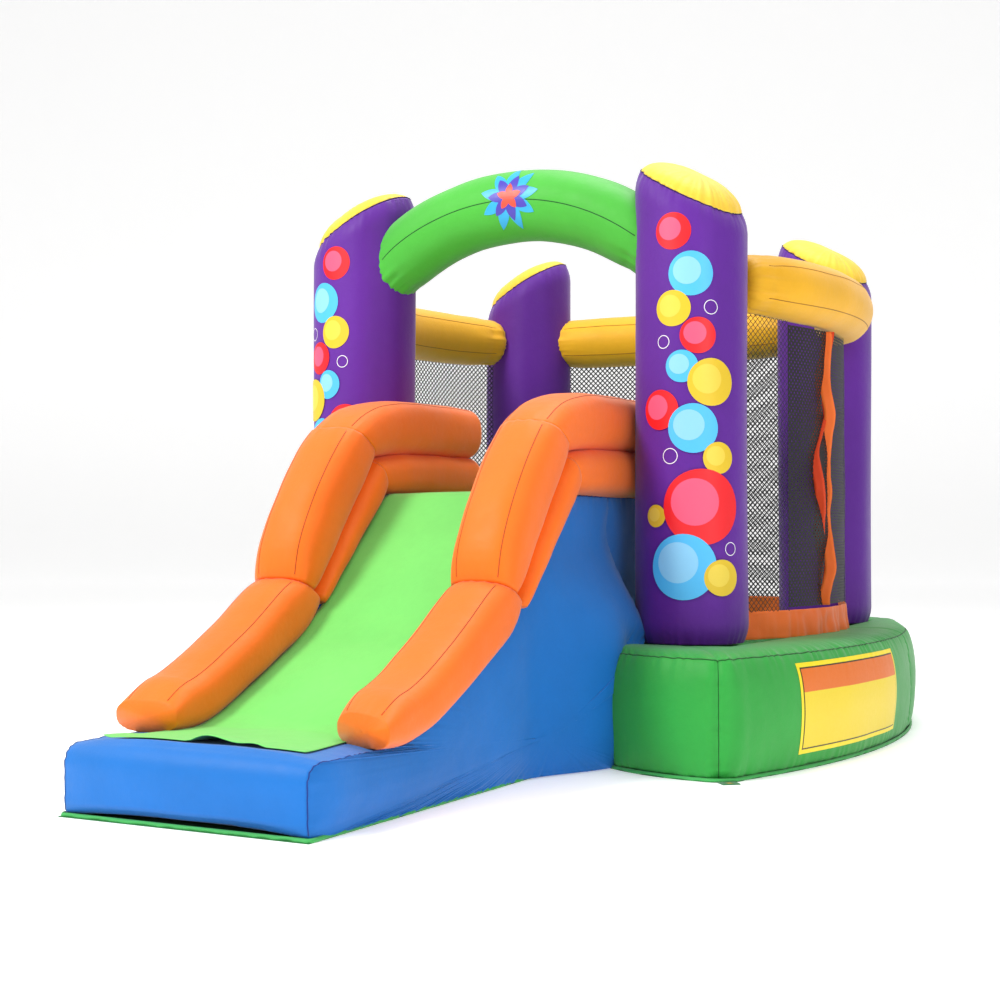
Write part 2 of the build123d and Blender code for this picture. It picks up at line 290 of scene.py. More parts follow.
class Shader:
    """A material's node tree, with short calls for the nodes used here."""

    def __init__(self, name):
        self.material = bpy.data.materials.new(name)
        self.material.use_nodes = True
        self.tree = self.material.node_tree
        self.surface = self.tree.nodes["Principled BSDF"]
        self.output = self.tree.nodes["Material Output"]
        self.coordinates = self.tree.nodes.new("ShaderNodeTexCoord")

    def link(self, source, target):
        self.tree.links.new(source, target)

    def node(self, kind, **values):
        made = self.tree.nodes.new(kind)
        for key, value in values.items():
            setattr(made, key, value)
        return made

    def math(self, operation, a, b=0.0, clamp=False):
        made = self.node("ShaderNodeMath", operation=operation, use_clamp=clamp)
        for socket, value in zip(made.inputs, (a, b)):
            if isinstance(value, (int, float)):
                socket.default_value = value
            else:
                self.link(value, socket)
        return made.outputs[0]

    def noise(self, scale, detail=3.0, rough=0.55):
        made = self.node("ShaderNodeTexNoise")
        made.inputs["Scale"].default_value = scale
        made.inputs["Detail"].default_value = detail
        made.inputs["Roughness"].default_value = rough
        self.link(self.coordinates.outputs["Object"], made.inputs["Vector"])
        return made.outputs["Fac"]

    def between(self, factor, low, high):
        """factor from 0 to 1 as a value from low to high."""
        made = self.node("ShaderNodeMapRange")
        self.link(factor, made.inputs["Value"])
        made.inputs["To Min"].default_value = low
        made.inputs["To Max"].default_value = high
        return made.outputs["Result"]

    def mixed(self, factor, first, second):
        made = self.node("ShaderNodeMix", data_type="RGBA")
        for socket, value in zip((made.inputs[0], made.inputs[6], made.inputs[7]), (factor, first, second)):
            if isinstance(value, (int, float, list, tuple)):
                socket.default_value = value
            else:
                self.link(value, socket)
        return made.outputs[2]

    def weave(self, pitch):
        """Threads over and under each other, from 0 to 1, on the cloth's own map."""
        split = self.node("ShaderNodeSeparateXYZ")
        self.link(self.coordinates.outputs["UV"], split.inputs[0])
        warp = self.math("SINE", self.math("MULTIPLY", split.outputs["X"], 2 * pi / pitch))
        weft = self.math("SINE", self.math("MULTIPLY", split.outputs["Y"], 2 * pi / pitch))
        return self.between(self.math("MULTIPLY", warp, weft), 0.0, 1.0)

    def bumped(self, height, strength, distance, before=None):
        made = self.node("ShaderNodeBump")
        made.inputs["Strength"].default_value = strength
        made.inputs["Distance"].default_value = distance
        self.link(height, made.inputs["Height"])
        if before is not None:
            self.link(before, made.inputs["Normal"])
        return made.outputs["Normal"]


def scaled(colour, factor):
    return [min(1.0, c * factor) for c in colour[:3]] + [1.0]


def fabric(name, colour, weave=0.0035, variation=0.16, rough=0.55, sheen=0.2, crease=0.5):
    """Coated woven nylon: fine weave, soft sheen, uneven dye, faint creases, and a painted highlight that
    lightens sharp ridges.
    """
    shader = Shader(name)
    surface = shader.surface
    dye = shader.noise(2.3, 4.0)
    pale, deep = scaled(colour, 1 + variation), scaled(colour, 1 - variation)
    cloth = shader.mixed(shader.between(dye, -0.4, 1.4), deep, pale)
    grain = shader.between(shader.noise(38.0, 5.0, 0.65), 0.0, 0.22)
    mottle = shader.mixed(grain, cloth, scaled(colour, 0.62))
    threads = shader.weave(weave)
    woven = shader.mixed(shader.between(threads, 0.0, 0.10), mottle, scaled(colour, 0.55))
    # Painted highlight: the colour is lightened on sharp convex ridges.
    ridge = shader.node("ShaderNodeNewGeometry").outputs["Pointiness"]
    edge_highlight = shader.math("MULTIPLY", shader.math("SUBTRACT", ridge, 0.52), 9.0, clamp=True)
    paled = shader.mixed(shader.math("MULTIPLY", edge_highlight, 0.22), woven, scaled(colour, 1.7))
    shader.link(paled, surface.inputs["Base Color"])
    shader.link(shader.between(shader.noise(14.0), rough - 0.09, rough + 0.12), surface.inputs["Roughness"])
    surface.inputs["Sheen Weight"].default_value = sheen
    surface.inputs["Sheen Roughness"].default_value = 0.45
    surface.inputs["Specular IOR Level"].default_value = 0.32
    creased = shader.bumped(shader.noise(9.0, 6.0, 0.6), crease, 0.006)
    fine = shader.bumped(shader.noise(55.0, 3.0, 0.5), 0.25, 0.0015, creased)
    shader.link(shader.bumped(threads, 0.18, 0.0005, fine), surface.inputs["Normal"])
    return shader.material


def stitching(name, colour):
    """Thick thread, as seen along a seam."""
    return fabric(f"{name}_stitch_thread", colour, weave=0.002, variation=0.2, rough=0.8)


def vinyl(name, colour):
    """Printed or welded vinyl: smooth, slightly glossy, faintly scuffed."""
    shader = Shader(name)
    scuffs = shader.noise(70.0, 6.0, 0.7)
    tone = shader.mixed(shader.between(scuffs, 0.0, 0.20), colour, scaled(colour, 0.72))
    paled = shader.mixed(shader.between(shader.noise(5.0), 0.0, 0.10), tone, scaled(colour, 1.35))
    shader.link(paled, shader.surface.inputs["Base Color"])
    shader.link(shader.between(scuffs, 0.32, 0.54), shader.surface.inputs["Roughness"])
    shader.link(shader.bumped(shader.weave(0.0035), 0.12, 0.0004), shader.surface.inputs["Normal"])
    return shader.material


def hard(name, colour, metallic, rough):
    """Moulded plastic or cast metal, with fine grain and a painted highlight that lightens sharp edges."""
    shader = Shader(name)
    grain = shader.noise(220.0, 4.0)
    # Painted highlight: the colour is lightened on sharp convex edges.
    ridge = shader.node("ShaderNodeNewGeometry").outputs["Pointiness"]
    edge_highlight = shader.math("MULTIPLY", shader.math("SUBTRACT", ridge, 0.53), 6.0, clamp=True)
    tone = shader.mixed(shader.between(grain, 0.0, 0.25), colour, scaled(colour, 0.6))
    shader.link(shader.mixed(edge_highlight, tone, scaled(colour, 1.8)), shader.surface.inputs["Base Color"])
    shader.link(shader.between(grain, rough, rough + 0.2), shader.surface.inputs["Roughness"])
    shader.surface.inputs["Metallic"].default_value = metallic
    shader.link(shader.bumped(grain, 0.2, 0.0004), shader.surface.inputs["Normal"])
    return shader.material


WEBBING_RIB = 0.006  # distance between the ribs of woven tape


def webbing(name, colour):
    """Narrow woven tape, with ribs across it."""
    shader = Shader(name)
    wave = shader.node("ShaderNodeTexWave", wave_type="BANDS", bands_direction="DIAGONAL")
    wave.inputs["Scale"].default_value = 1 / WEBBING_RIB
    wave.inputs["Distortion"].default_value = 0.6
    shader.link(shader.coordinates.outputs["Object"], wave.inputs["Vector"])
    ribs = wave.outputs["Fac"]
    shader.link(
        shader.mixed(shader.between(ribs, 0.0, 0.4), colour, scaled(colour, 0.5)),
        shader.surface.inputs["Base Color"],
    )
    shader.surface.inputs["Roughness"].default_value = 0.75
    shader.surface.inputs["Sheen Weight"].default_value = 0.3
    shader.link(shader.bumped(ribs, 0.5, 0.0008), shader.surface.inputs["Normal"])
    return shader.material


NET_PITCH = 0.0165  # distance between a net's strands


def netting(name, colour, strand):
    """Black knotted mesh: diagonal strands, each strand of a pitch wide, and open diamonds between them."""
    shader = Shader(name)
    split = shader.node("ShaderNodeSeparateXYZ")
    shader.link(shader.coordinates.outputs["UV"], split.inputs[0])
    x, y = split.outputs["X"], split.outputs["Y"]
    solid = 0.0
    for slope in (shader.math("ADD", x, y), shader.math("SUBTRACT", x, y)):
        place = shader.math("FRACT", shader.math("DIVIDE", slope, NET_PITCH * sqrt(2)))
        from_middle = shader.math("ABSOLUTE", shader.math("SUBTRACT", place, 0.5))
        on_strand = shader.math("LESS_THAN", from_middle, strand / 2)
        solid = shader.math("MAXIMUM", on_strand, solid)
    tone = shader.mixed(shader.between(shader.noise(30.0), 0.0, 0.5), colour, scaled(colour, 2.0))
    shader.link(tone, shader.surface.inputs["Base Color"])
    shader.surface.inputs["Roughness"].default_value = 0.6
    shader.link(solid, shader.surface.inputs["Alpha"])
    return shader.material


BLUE = fabric("blue_nylon", linear(2, 110, 196), variation=0.14)
LIME = fabric("lime_nylon", linear(112, 210, 100), variation=0.10, crease=0.35)
ORANGE = fabric("orange_nylon", linear(255, 114, 10), variation=0.10)
DEEP_ORANGE = fabric("deep_orange_nylon", linear(215, 62, 14), variation=0.12)
SKIRT_ORANGE = fabric("skirt_orange_nylon", linear(250, 112, 40), variation=0.14, crease=0.9)
PURPLE = fabric("purple_nylon", linear(92, 26, 148), variation=0.14)
YELLOW = fabric("yellow_nylon", linear(240, 178, 26), variation=0.10)
CAP_YELLOW = fabric("cap_yellow_nylon", linear(250, 204, 60), variation=0.10)
ARCH_GREEN = fabric("arch_green_nylon", linear(70, 178, 54), variation=0.14)
GREEN = fabric("green_nylon", linear(40, 158, 58), variation=0.16)
HEM_GREEN = fabric("hem_green_nylon", linear(64, 170, 84), variation=0.12)
GROUND = fabric("ground_sheet_cloth", linear(30, 110, 50), variation=0.15, rough=0.7, sheen=0.05)
WEB = fabric("web_cloth", linear(210, 212, 206), variation=0.05)
GREEN_STITCH = stitching("green", linear(14, 84, 28))
BLUE_STITCH = stitching("blue", linear(10, 50, 130))
ORANGE_STITCH = stitching("orange", linear(168, 64, 14))
YELLOW_STITCH = stitching("yellow", linear(168, 112, 12))
PURPLE_STITCH = stitching("purple", linear(42, 12, 74))
NET = netting("black_net", linear(16, 14, 20), 0.34)
FINE_NET = netting("black_fine_net", linear(16, 14, 20), 0.15)
DOOR_NET = netting("black_door_net", linear(12, 10, 16), 0.62)
TAPE = webbing("black_tape", linear(24, 24, 28))
GREEN_TAPE = webbing("green_tape", linear(30, 120, 60))
BRASS = hard("brass", linear(190, 160, 90), 1.0, 0.28)
ZIP_METAL = hard("zip_nickel", linear(175, 178, 182), 1.0, 0.25)
PLASTIC = hard("black_plastic", linear(26, 26, 30), 0.0, 0.38)
LABEL_YELLOW = vinyl("label_yellow", linear(250, 224, 20))
LABEL_FIELD = vinyl("label_field", linear(236, 208, 30))
LABEL_ORANGE = vinyl("label_orange", linear(226, 112, 22))
LABEL_EDGE = vinyl("label_edge", linear(60, 50, 20))
PRINT = {
    "red": vinyl("print_red", linear(236, 18, 30)),
    "pink": vinyl("print_pink", linear(250, 86, 122)),
    "blue": vinyl("print_blue", linear(76, 186, 246)),
    "sky": vinyl("print_sky", linear(138, 206, 248)),
    "yellow": vinyl("print_yellow", linear(226, 190, 36)),
    "cream": vinyl("print_cream", linear(236, 206, 70)),
    "white": vinyl("print_white", linear(240, 236, 246)),
    "star_blue": vinyl("star_blue", linear(40, 170, 225)),
    "star_purple": vinyl("star_purple", linear(70, 60, 175)),
    "star_red": vinyl("star_red", linear(232, 74, 52)),
}


# ---- posts and their caps ----


class Post:
    """One corner post, measured from its CAD node."""

    def __init__(self, side, end):
        self.name = f"{'right' if side == RIGHT else 'left'}_{end}"
        low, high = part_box(f"{self.name}_post")
        self.side = side
        self.x, self.y = (low.x + high.x) / 2, (low.y + high.y) / 2
        self.r = (high.y - low.y) / 2
        self.low = low.z
        self.tilted = np.array([side * sin(SLANT), -sin(LEAN) * cos(SLANT), cos(LEAN) * cos(SLANT)])
        self.fall = self.tilted[:2] / self.tilted[2]
        self.seam = high.z - self.r * float(np.linalg.norm(self.fall))
        self.seed = {"front": 0.7, "rear": 2.9}[end] + (0.0 if side == RIGHT else 1.4)

    def seam_z(self, angle):
        """The slanted top's height at an angle round the post."""
        return self.seam - self.r * (self.fall[0] * np.cos(angle) + self.fall[1] * np.sin(angle))

    def radius(self, angle, z):
        """The inflated post's radius: full, drawn in at both ends, puckered at its seams."""
        below, above = self.seam_z(angle) - z, z - self.low
        s = angle * self.r
        radius = self.r - 0.001 - SHOULDER * np.clip(1 - below / 0.085, 0, 1) ** 2.2
        radius -= 0.018 * np.clip(1 - above / 0.07, 0, 1) ** 2
        radius -= 0.0052 * np.exp(-np.abs(below) / 0.032) * ripple(s, PUCKER, self.seed)
        radius -= 0.0040 * np.exp(-np.abs(above) / 0.030) * ripple(s, PUCKER * 1.2, self.seed + 2)
        radius += 0.0022 * np.sin(2 * angle + 2.4 * z + self.seed) + 0.0016 * np.sin(5 * angle - 3.1 * z)
        return radius + 0.0009 * np.sin(9 * angle + 1.7 * z + self.seed)

    def at(self, angle, z, lift=0.0):
        radius = self.radius(angle, z) + lift
        return np.stack([self.x + radius * np.cos(angle), self.y + radius * np.sin(angle), z], -1)


def post_pieces(post):
    """The post's own cloth, its cap, and the thread lines of both."""
    angle = np.linspace(0, 2 * pi, 133)[:-1]
    share = eased(120)[:, None]
    top = post.seam_z(angle)[None, :]
    z = post.low - 0.004 + (top - post.low + 0.004) * share
    angles = np.broadcast_to(angle[None, :], z.shape)
    chamber(f"{post.name}_post_cover", post.at(angles, z), PURPLE, [f"{post.name}_post"])
    cap_piece(post, angle)
    out = np.stack([np.cos(angle), np.sin(angle), 0 * angle], -1)
    ring = post.at(angle, top[0], 0.0006)
    thread(f"{post.name}_cap_seam", ring, out, PURPLE_STITCH, closed=True, width=0.0028)
    heights = spaced(post.low + 0.02, float(post.seam_z(pi / 2)) - 0.01, 0.02)
    rear = np.full_like(heights, pi / 2 + 0.12 * post.side)
    facing = np.stack([np.cos(rear), np.sin(rear), 0 * rear], -1)
    line = post.at(rear, heights, 0.0002)
    thread(f"{post.name}_panel_seam_0", line, facing, PURPLE_STITCH)


def cap_piece(post, angle):
    """The crowned lid, gathered at its edge, with its underside closed."""
    tilted = post.tilted
    rim = post.at(angle, post.seam_z(angle), 0.0)
    centre = np.array([post.x, post.y, post.seam])
    rows = []
    for share in 1 - eased(34)[:-1] ** 1.2:
        height = CAP_CROWN * (1 - share**2.8) ** 0.62
        gather = 0.0035 * near(1 - share, 0.16) * ripple(angle * post.r, PUCKER, post.seed)
        flat = centre + (rim - centre) * share
        rows.append(flat + (height + gather)[:, None] * tilted)
    grid = np.array(rows)
    grid += uneven(grid, 0.11, post.seed)[..., None] * 0.003 * tilted
    chamber(f"{post.name}_cap_cover", grid, CAP_YELLOW, [f"{post.name}_cap"])


# Printed bubbles on a front post: how far round from the front towards the outside in degrees, height,
# radius across and colour, in the order they are printed.
BUBBLES = [
    (3, 1.867, 0.066, "red"),
    (21, 1.715, 0.079, "blue"),
    (3, 1.594, 0.064, "yellow"),
    (28, 1.497, 0.064, "red"),
    (12, 1.389, 0.057, "blue"),
    (41, 1.333, 0.084, "yellow"),
    (-11, 1.238, 0.071, "red"),
    (23, 1.171, 0.087, "blue"),
    (48, 1.067, 0.056, "yellow"),
    (-16, 0.864, 0.040, "yellow"),
    (31, 0.895, 0.134, "red"),
    (13, 0.685, 0.116, "blue"),
    (51, 0.647, 0.064, "yellow"),
]
RINGS = [(41, 1.596, 0.026), (-7, 1.477, 0.024), (0, 1.074, 0.028), (62, 0.748, 0.024)]
INNER = {"red": "pink", "blue": "sky", "yellow": "cream"}


def bubble_rows(post, degrees, height, radii, lift, shift=(0.0, 0.0)):
    """Rows of points from a bubble's middle out, following the post."""
    turn = np.linspace(0, 2 * pi, 41)[:-1]
    front = -pi / 2 + post.side * radians(degrees)
    rows = []
    for radius in radii:
        along = (radius * np.cos(turn) + shift[0]) / post.r
        z = height + radius * np.sin(turn) + shift[1]
        rows.append(post.at(front + along, z, lift))
    return np.array(rows)


def bubbles(post):
    """The printed spots, each a thin vinyl transfer with its paler highlight."""
    for i, (degrees, height, radius, colour) in enumerate(BUBBLES):
        lift = 0.0012 + 0.0005 * i
        rows = bubble_rows(post, degrees, height, radius * np.linspace(0.04, 1, 9), lift)
        name = f"{post.name}_bubble_{i + 1}"
        made = mesh_object(name, rows, PRINT[colour], fans=(True, False))
        placed(made)
        shift = (-0.17 * radius, 0.13 * radius)
        rows = bubble_rows(post, degrees, height, radius * np.linspace(0.04, 0.62, 7), lift + 0.0003, shift)
        made = mesh_object(f"{name}_highlight", rows, PRINT[INNER[colour]], fans=(True, False))
        placed(made)
    for i, (degrees, height, radius) in enumerate(RINGS):
        rows = bubble_rows(post, degrees, height, (radius - 0.0028, radius), 0.0016)
        placed(mesh_object(f"{post.name}_ring_{i + 1}", rows, PRINT["white"]))


POSTS = {(side, end): Post(side, end) for side in (RIGHT, LEFT) for end in ("front", "rear")}
for post in POSTS.values():
    post_pieces(post)
bubbles(POSTS[RIGHT, "front"])
bubbles(POSTS[LEFT, "front"])


# ---- tubes: beams and arch ----


def tube(centres, radius, pinch):
    """Rings round a line of centres, drawn in and puckered at both ends, and their outward directions."""
    centres = np.asarray(centres)
    ahead = np.gradient(centres, axis=0)
    ahead /= np.linalg.norm(ahead, axis=1, keepdims=True)
    reference = UP if abs(ahead[:, 2]).max() < 0.3 else np.array([0.0, 1.0, 0.0])
    side = np.cross(ahead, reference)
    side /= np.linalg.norm(side, axis=1, keepdims=True)
    top = np.cross(side, ahead)
    length = np.r_[0, np.cumsum(np.linalg.norm(np.diff(centres, axis=0), axis=1))]
    from_end = np.minimum(length, length[-1] - length)[:, None]
    turn = np.linspace(0, 2 * pi, 73)[:-1]
    out = side[:, None] * np.cos(turn)[None, :, None] + top[:, None] * np.sin(turn)[None, :, None]
    seam = np.maximum(from_end - pinch, 0)
    drawn = radius * (1 - 0.10 * np.exp(-seam / 0.05) - 0.34 * np.exp(-from_end / 0.016))
    drawn = drawn - 0.0045 * np.exp(-seam / 0.035) * ripple(turn[None, :] * radius, PUCKER, radius * 9)
    return centres[:, None] + out * drawn[..., None], out


def side_beam(side):
    """The beam between a front and a rear post, bowed outwards."""
    name = "right_beam" if side == RIGHT else "left_beam"
    low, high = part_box(name)
    radius = (high.z - low.z) / 2
    bulge = max(abs(low.x), abs(high.x)) - radius
    z = (low.z + high.z) / 2
    ends = [(side * BEAM_END_X, BEAM_END_Y[0]), (side * BEAM_END_X, BEAM_END_Y[1])]
    centre_x, centre_y, arc = bow(ends, side * bulge)
    start = atan2(ends[0][1] - centre_y, side * ends[0][0] - side * centre_x)
    turn = np.linspace(start, -start, 110)
    x, y = centre_x + side * arc * np.cos(turn), centre_y + arc * np.sin(turn)
    grid, out = tube(np.stack([x, y, 0 * turn + z], -1), radius, BEAM_PINCH)
    grid += out * (0.004 * uneven(grid, 0.16, side))[..., None]
    chamber(f"{name}_cover", grid, YELLOW, [name])
    lengthways_seams(name, grid, out, (7, 65, 31), 6, YELLOW_STITCH)


def bow(ends, bulge_x):
    """Centre and radius of the circle through both ends, which share an x, and the bulge midway."""
    (x, y0), (_, y1) = ends
    half, rise = (y1 - y0) / 2, abs(bulge_x) - abs(x)
    radius = (half**2 + rise**2) / (2 * rise)
    centre = bulge_x - radius if bulge_x > 0 else bulge_x + radius
    return centre, (y0 + y1) / 2, radius


BEAM_END_X, BEAM_END_Y, BEAM_PINCH = 0.83, (0.0, 1.24), 0.10


def rear_line(x, bulge):
    """The y of the rear pieces at each x: an arc through both rear posts, furthest back at bulge."""
    post = POSTS[RIGHT, "rear"]
    rise = bulge - post.y
    arc = (post.x**2 + rise**2) / (2 * rise)
    return bulge - arc + np.sqrt(arc**2 - x**2)


def rear_beam():
    """The beam between the rear posts, bowed to the back."""
    low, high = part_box("rear_beam")
    radius, z = (high.z - low.z) / 2, (low.z + high.z) / 2
    reach = POSTS[RIGHT, "rear"].x - 0.10
    x = np.linspace(-reach, reach, 110)
    y = rear_line(x, high.y - radius)
    grid, out = tube(np.stack([x, y, 0 * x + z], -1), radius, 0.09)
    grid += out * (0.004 * uneven(grid, 0.16, 5))[..., None]
    chamber("rear_beam_cover", grid, YELLOW, ["rear_beam"])
    lengthways_seams("rear_beam", grid, out, (7, 65, 29, 43), 8, YELLOW_STITCH)


def front_arch():
    """The arch between the front posts."""
    low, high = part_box("front_arch")
    post = POSTS[RIGHT, "front"]
    y, radius = (low.y + high.y) / 2, (high.y - low.y) / 2
    crown = high.z - radius
    reach = post.x - 0.085
    drop = crown - ARCH_BEND + np.sqrt(ARCH_BEND**2 - reach**2)
    start = atan2(drop - crown + ARCH_BEND, reach)
    turn = np.linspace(pi - start, start, 120)
    centres = np.stack(
        [ARCH_BEND * np.cos(turn), 0 * turn + y, crown - ARCH_BEND + ARCH_BEND * np.sin(turn)], -1
    )
    grid, out = tube(centres, radius, 0.10)
    grid += out * (0.004 * uneven(grid, 0.18, 3))[..., None]
    made = chamber("front_arch_cover", grid, ARCH_GREEN, ["front_arch"])
    line, facing = grid[9:-9, ARCH_SEAM], out[9:-9, ARCH_SEAM]
    thread("front_arch_seam", line + facing * SEAM_LIFT, facing, GREEN_STITCH)
    return made


ARCH_BEND = 0.9  # radius of the arch's centre line
ARCH_SEAM = 54  # the column of its grid that the seam follows, along its front

for side in (RIGHT, LEFT):
    side_beam(side)
rear_beam()
arch_made = front_arch()


def star(name, tree, points, outer, inner, turn, lift, material, nodes=()):
    """A star-shaped patch laid on the front of the arch."""
    low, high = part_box("arch_badge")
    centre = np.array([(low.x + high.x) / 2 + 0.03, 0, (low.z + high.z) / 2])
    around = np.linspace(0, 2 * pi, 2 * points * 8 + 1)[:-1]
    between = np.abs(((around * points / (2 * pi) + 0.5) % 1.0) - 0.5) * 2
    edge = outer + (inner - outer) * between
    rows = []
    for share in np.linspace(0.03, 1, 12):
        flat = np.stack([np.cos(around + turn), 0 * around, np.sin(around + turn)], -1)
        starts = centre + flat * (edge * share)[:, None] - np.array([0, 1.5, 0])
        rows.append(laid_on(tree, starts, [(0, 1, 0)] * len(starts), lift))
    return placed(mesh_object(name, np.array(rows), material, fans=(True, False)), nodes)


arch_tree = surface_of(arch_made)[0]
star("badge_back_star", arch_tree, 9, 0.122, 0.068, 0.14, 0.0012, PRINT["star_blue"], ["arch_badge"])
star("badge_middle_star", arch_tree, 7, 0.088, 0.046, 0.40, 0.0018, PRINT["star_purple"])
star("badge_front_star", arch_tree, 5, 0.052, 0.024, 0.31, 0.0024, PRINT["star_red"])


# ---- base ----

BASE_MIDDLE = np.array([0.0, 0.6])
BASE_SEAM_Z = 0.398  # height of the seam round the top
BASE_COLUMNS = 820
BASE_UPRIGHT_SEAMS = [(1.005, -0.685), (0.962, 1.80), (1.21, 0.95)]  # on the right; the left has the same
# How the side wall stands: height, and how far outside the CAD outline.
BASE_PROFILE = [
    (0.002, -0.040),
    (0.004, -0.016),
    (0.020, -0.004),
    (0.090, 0.010),
    (0.200, 0.018),
    (0.300, 0.010),
    (0.362, -0.006),
    (0.388, -0.020),
    (BASE_SEAM_Z, -0.030),
    (0.402, -0.040),
]


def node_tree(node):
    """A tree to cast rays at a CAD node."""
    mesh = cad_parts[node].data
    return BVHTree.FromPolygons([v.co for v in mesh.vertices], [p.vertices for p in mesh.polygons])


def base_outline():
    """The base's outline in plan, evenly spaced, with its outward directions."""
    tree = node_tree("base_cushion")
    found = []
    for angle in np.linspace(0, 2 * pi, 1441)[:-1]:
        away = Vector((cos(angle), sin(angle), 0))
        start = Vector((*BASE_MIDDLE, 0.2)) + away * 4
        place = tree.ray_cast(start, -away)[0]
        found.append((place.x, place.y))
    found = np.array(found)
    total = np.linalg.norm(np.roll(found, -1, 0) - found, axis=1).sum()
    points = resampled(found, total / BASE_COLUMNS, closed=True)
    for _ in range(2):
        points = 0.5 * points + 0.25 * (np.roll(points, 1, 0) + np.roll(points, -1, 0))
    ahead = np.roll(points, -1, 0) - np.roll(points, 1, 0)
    ahead /= np.linalg.norm(ahead, axis=1, keepdims=True)
    return points, np.stack([ahead[:, 1], -ahead[:, 0]], -1)


def edge_of_floor(points):
    """Where lines from the base's middle to the points leave the bounce floor."""
    low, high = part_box("bounce_floor")
    middle = np.array([(low.x + high.x) / 2, (low.y + high.y) / 2])
    half = np.array([(high.x - low.x) / 2, (high.y - low.y) / 2]) + 0.001
    ray = points - middle
    return middle + ray / np.maximum(np.abs(ray[:, :1]) / half[0], np.abs(ray[:, 1:]) / half[1])


def corner_seams(points):
    """Distance along the outline from the nearest upright seam."""
    step = np.linalg.norm(np.roll(points, -1, 0) - points, axis=1)
    along = np.r_[0, np.cumsum(step)[:-1]]
    total = step.sum()
    seams = [(side * x, y) for x, y in BASE_UPRIGHT_SEAMS for side in (RIGHT, LEFT)]
    away = np.full(len(points), 9.0)
    places = []
    for seam in seams:
        place = int(np.linalg.norm(points - np.array(seam), axis=1).argmin())
        gap = np.abs(along - along[place])
        away = np.minimum(away, np.minimum(gap, total - gap))
        places.append(place)
    return along, away, places


def zip_window(grid):
    """1 where the zip lies on the rear wall, fading to 0 round it."""
    low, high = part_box("zip_tape")
    x, y, z = grid[..., 0], grid[..., 1], grid[..., 2]
    beyond = np.maximum(np.maximum(low.x - x, x - high.x), np.maximum(low.z - z, z - high.z))
    return (1 - step_up(beyond, 0.015, 0.06)) * (y > BASE_MIDDLE[1])


def base_ring():
    """The big ring cushion: bulging side, top and bottom seams, gathered upright seams."""
    points, out = base_outline()
    along, away, places = corner_seams(points)
    profile = smooth_line(BASE_PROFILE[:8], 0.013)
    rows = []
    for z, offset in profile:
        pucker = 0.0050 * np.exp(-abs(z - BASE_SEAM_Z) / 0.035) * ripple(along, PUCKER * 1.3, 1.1)
        pucker = pucker + 0.0045 * np.exp(-z / 0.035) * ripple(along, PUCKER * 1.5, 2.2)
        swell = 1 - 0.55 * near(away, 0.06)
        dent = 0.012 * near(away, 0.016) + 0.0055 * near(away, 0.040) * ripple(np.full(1, z), 0.026, 0.4)
        reach = offset * np.where(offset > 0, swell, 1.0) - pucker - dent
        rows.append(np.column_stack([points + out * reach[:, None], np.full(len(points), z)]))
    inner = edge_of_floor(points)
    rim = points - out * 0.030
    shares = np.r_[0.0, 0.02, 0.05, 0.09, np.linspace(0.15, 0.85, 14), 0.92, 0.96, 0.985, 1.0]
    for share in shares:
        flat = rim + (inner - rim) * share
        bulge = 0.022 * (1 - (2 * share - 1) ** 4)
        pucker = 0.0040 * near(share, 0.10) * ripple(along, PUCKER * 1.3, 1.1)
        z = BASE_SEAM_Z + bulge - pucker - 0.006 * share
        z = z - 0.008 * near(away, 0.02) * (1 - share)
        rows.append(np.column_stack([flat, z * np.ones(len(points))]))
    for z in (0.36, 0.20, 0.004):
        rows.append(np.column_stack([inner, np.full(len(points), z)]))
    grid = np.array(rows)
    side_rows = len(profile)
    outward = np.column_stack([out, np.zeros(len(out))])
    grid[2:side_rows] += outward * (0.006 * uneven(grid[2:side_rows], 0.22, 4))[..., None]
    flat = zip_window(grid[:side_rows])
    for axis in (0, 1):
        level = (points - out * 0.0015)[None, :, axis]
        grid[:side_rows, :, axis] += (level - grid[:side_rows, :, axis]) * flat
    open_ends = (False, False)
    made = chamber("base_cushion_cover", grid, GREEN, ["base_cushion"], open_ends, True)
    ring_out = np.column_stack([out * 0.8, np.full(len(out), 0.6)])
    seam_ring = (grid[side_rows - 1] + grid[side_rows]) / 2
    thread("base_top_seam", seam_ring, ring_out, GREEN_STITCH, True, 0.0022, 0.001)
    for k, place in enumerate(places):
        line = grid[1:side_rows, place]
        facing = np.tile(np.r_[out[place], 0.0], (len(line), 1))
        thread(f"base_upright_seam_{k + 1}", line, facing, GREEN_STITCH, lift=SEAM_LIFT)
    return made, points, out, along


# The hem in section: height, how far it stands out, and how much it waves.
HEM_PROFILE = [(0.001, 0.004, 1.4), (0.004, 0.006, 1.0), (0.008, 0.005, 0.6), (0.012, 0.001, 0.2)]


def hem(name, points, out, along, closed):
    """The ground sheet's edge, turned up round the foot of the walls."""
    wave = 0.0022 * ripple(along, 0.11, 0.5) + 0.0015 * ripple(along, 0.043, 1.9)
    rows = [
        np.column_stack([points + out * (reach + wave * share)[:, None], np.full(len(points), z)])
        for z, reach, share in HEM_PROFILE
    ]
    made = mesh_object(name, np.array(rows), HEM_GREEN, around=closed)
    thicker(made, 0.0016)
    return placed(made)


base_made, BASE_POINTS, BASE_OUT, BASE_ALONG = base_ring()
hem("base_hem", BASE_POINTS - BASE_OUT * 0.006, BASE_OUT, BASE_ALONG, True)


FLOOR_CHANNELS = 7


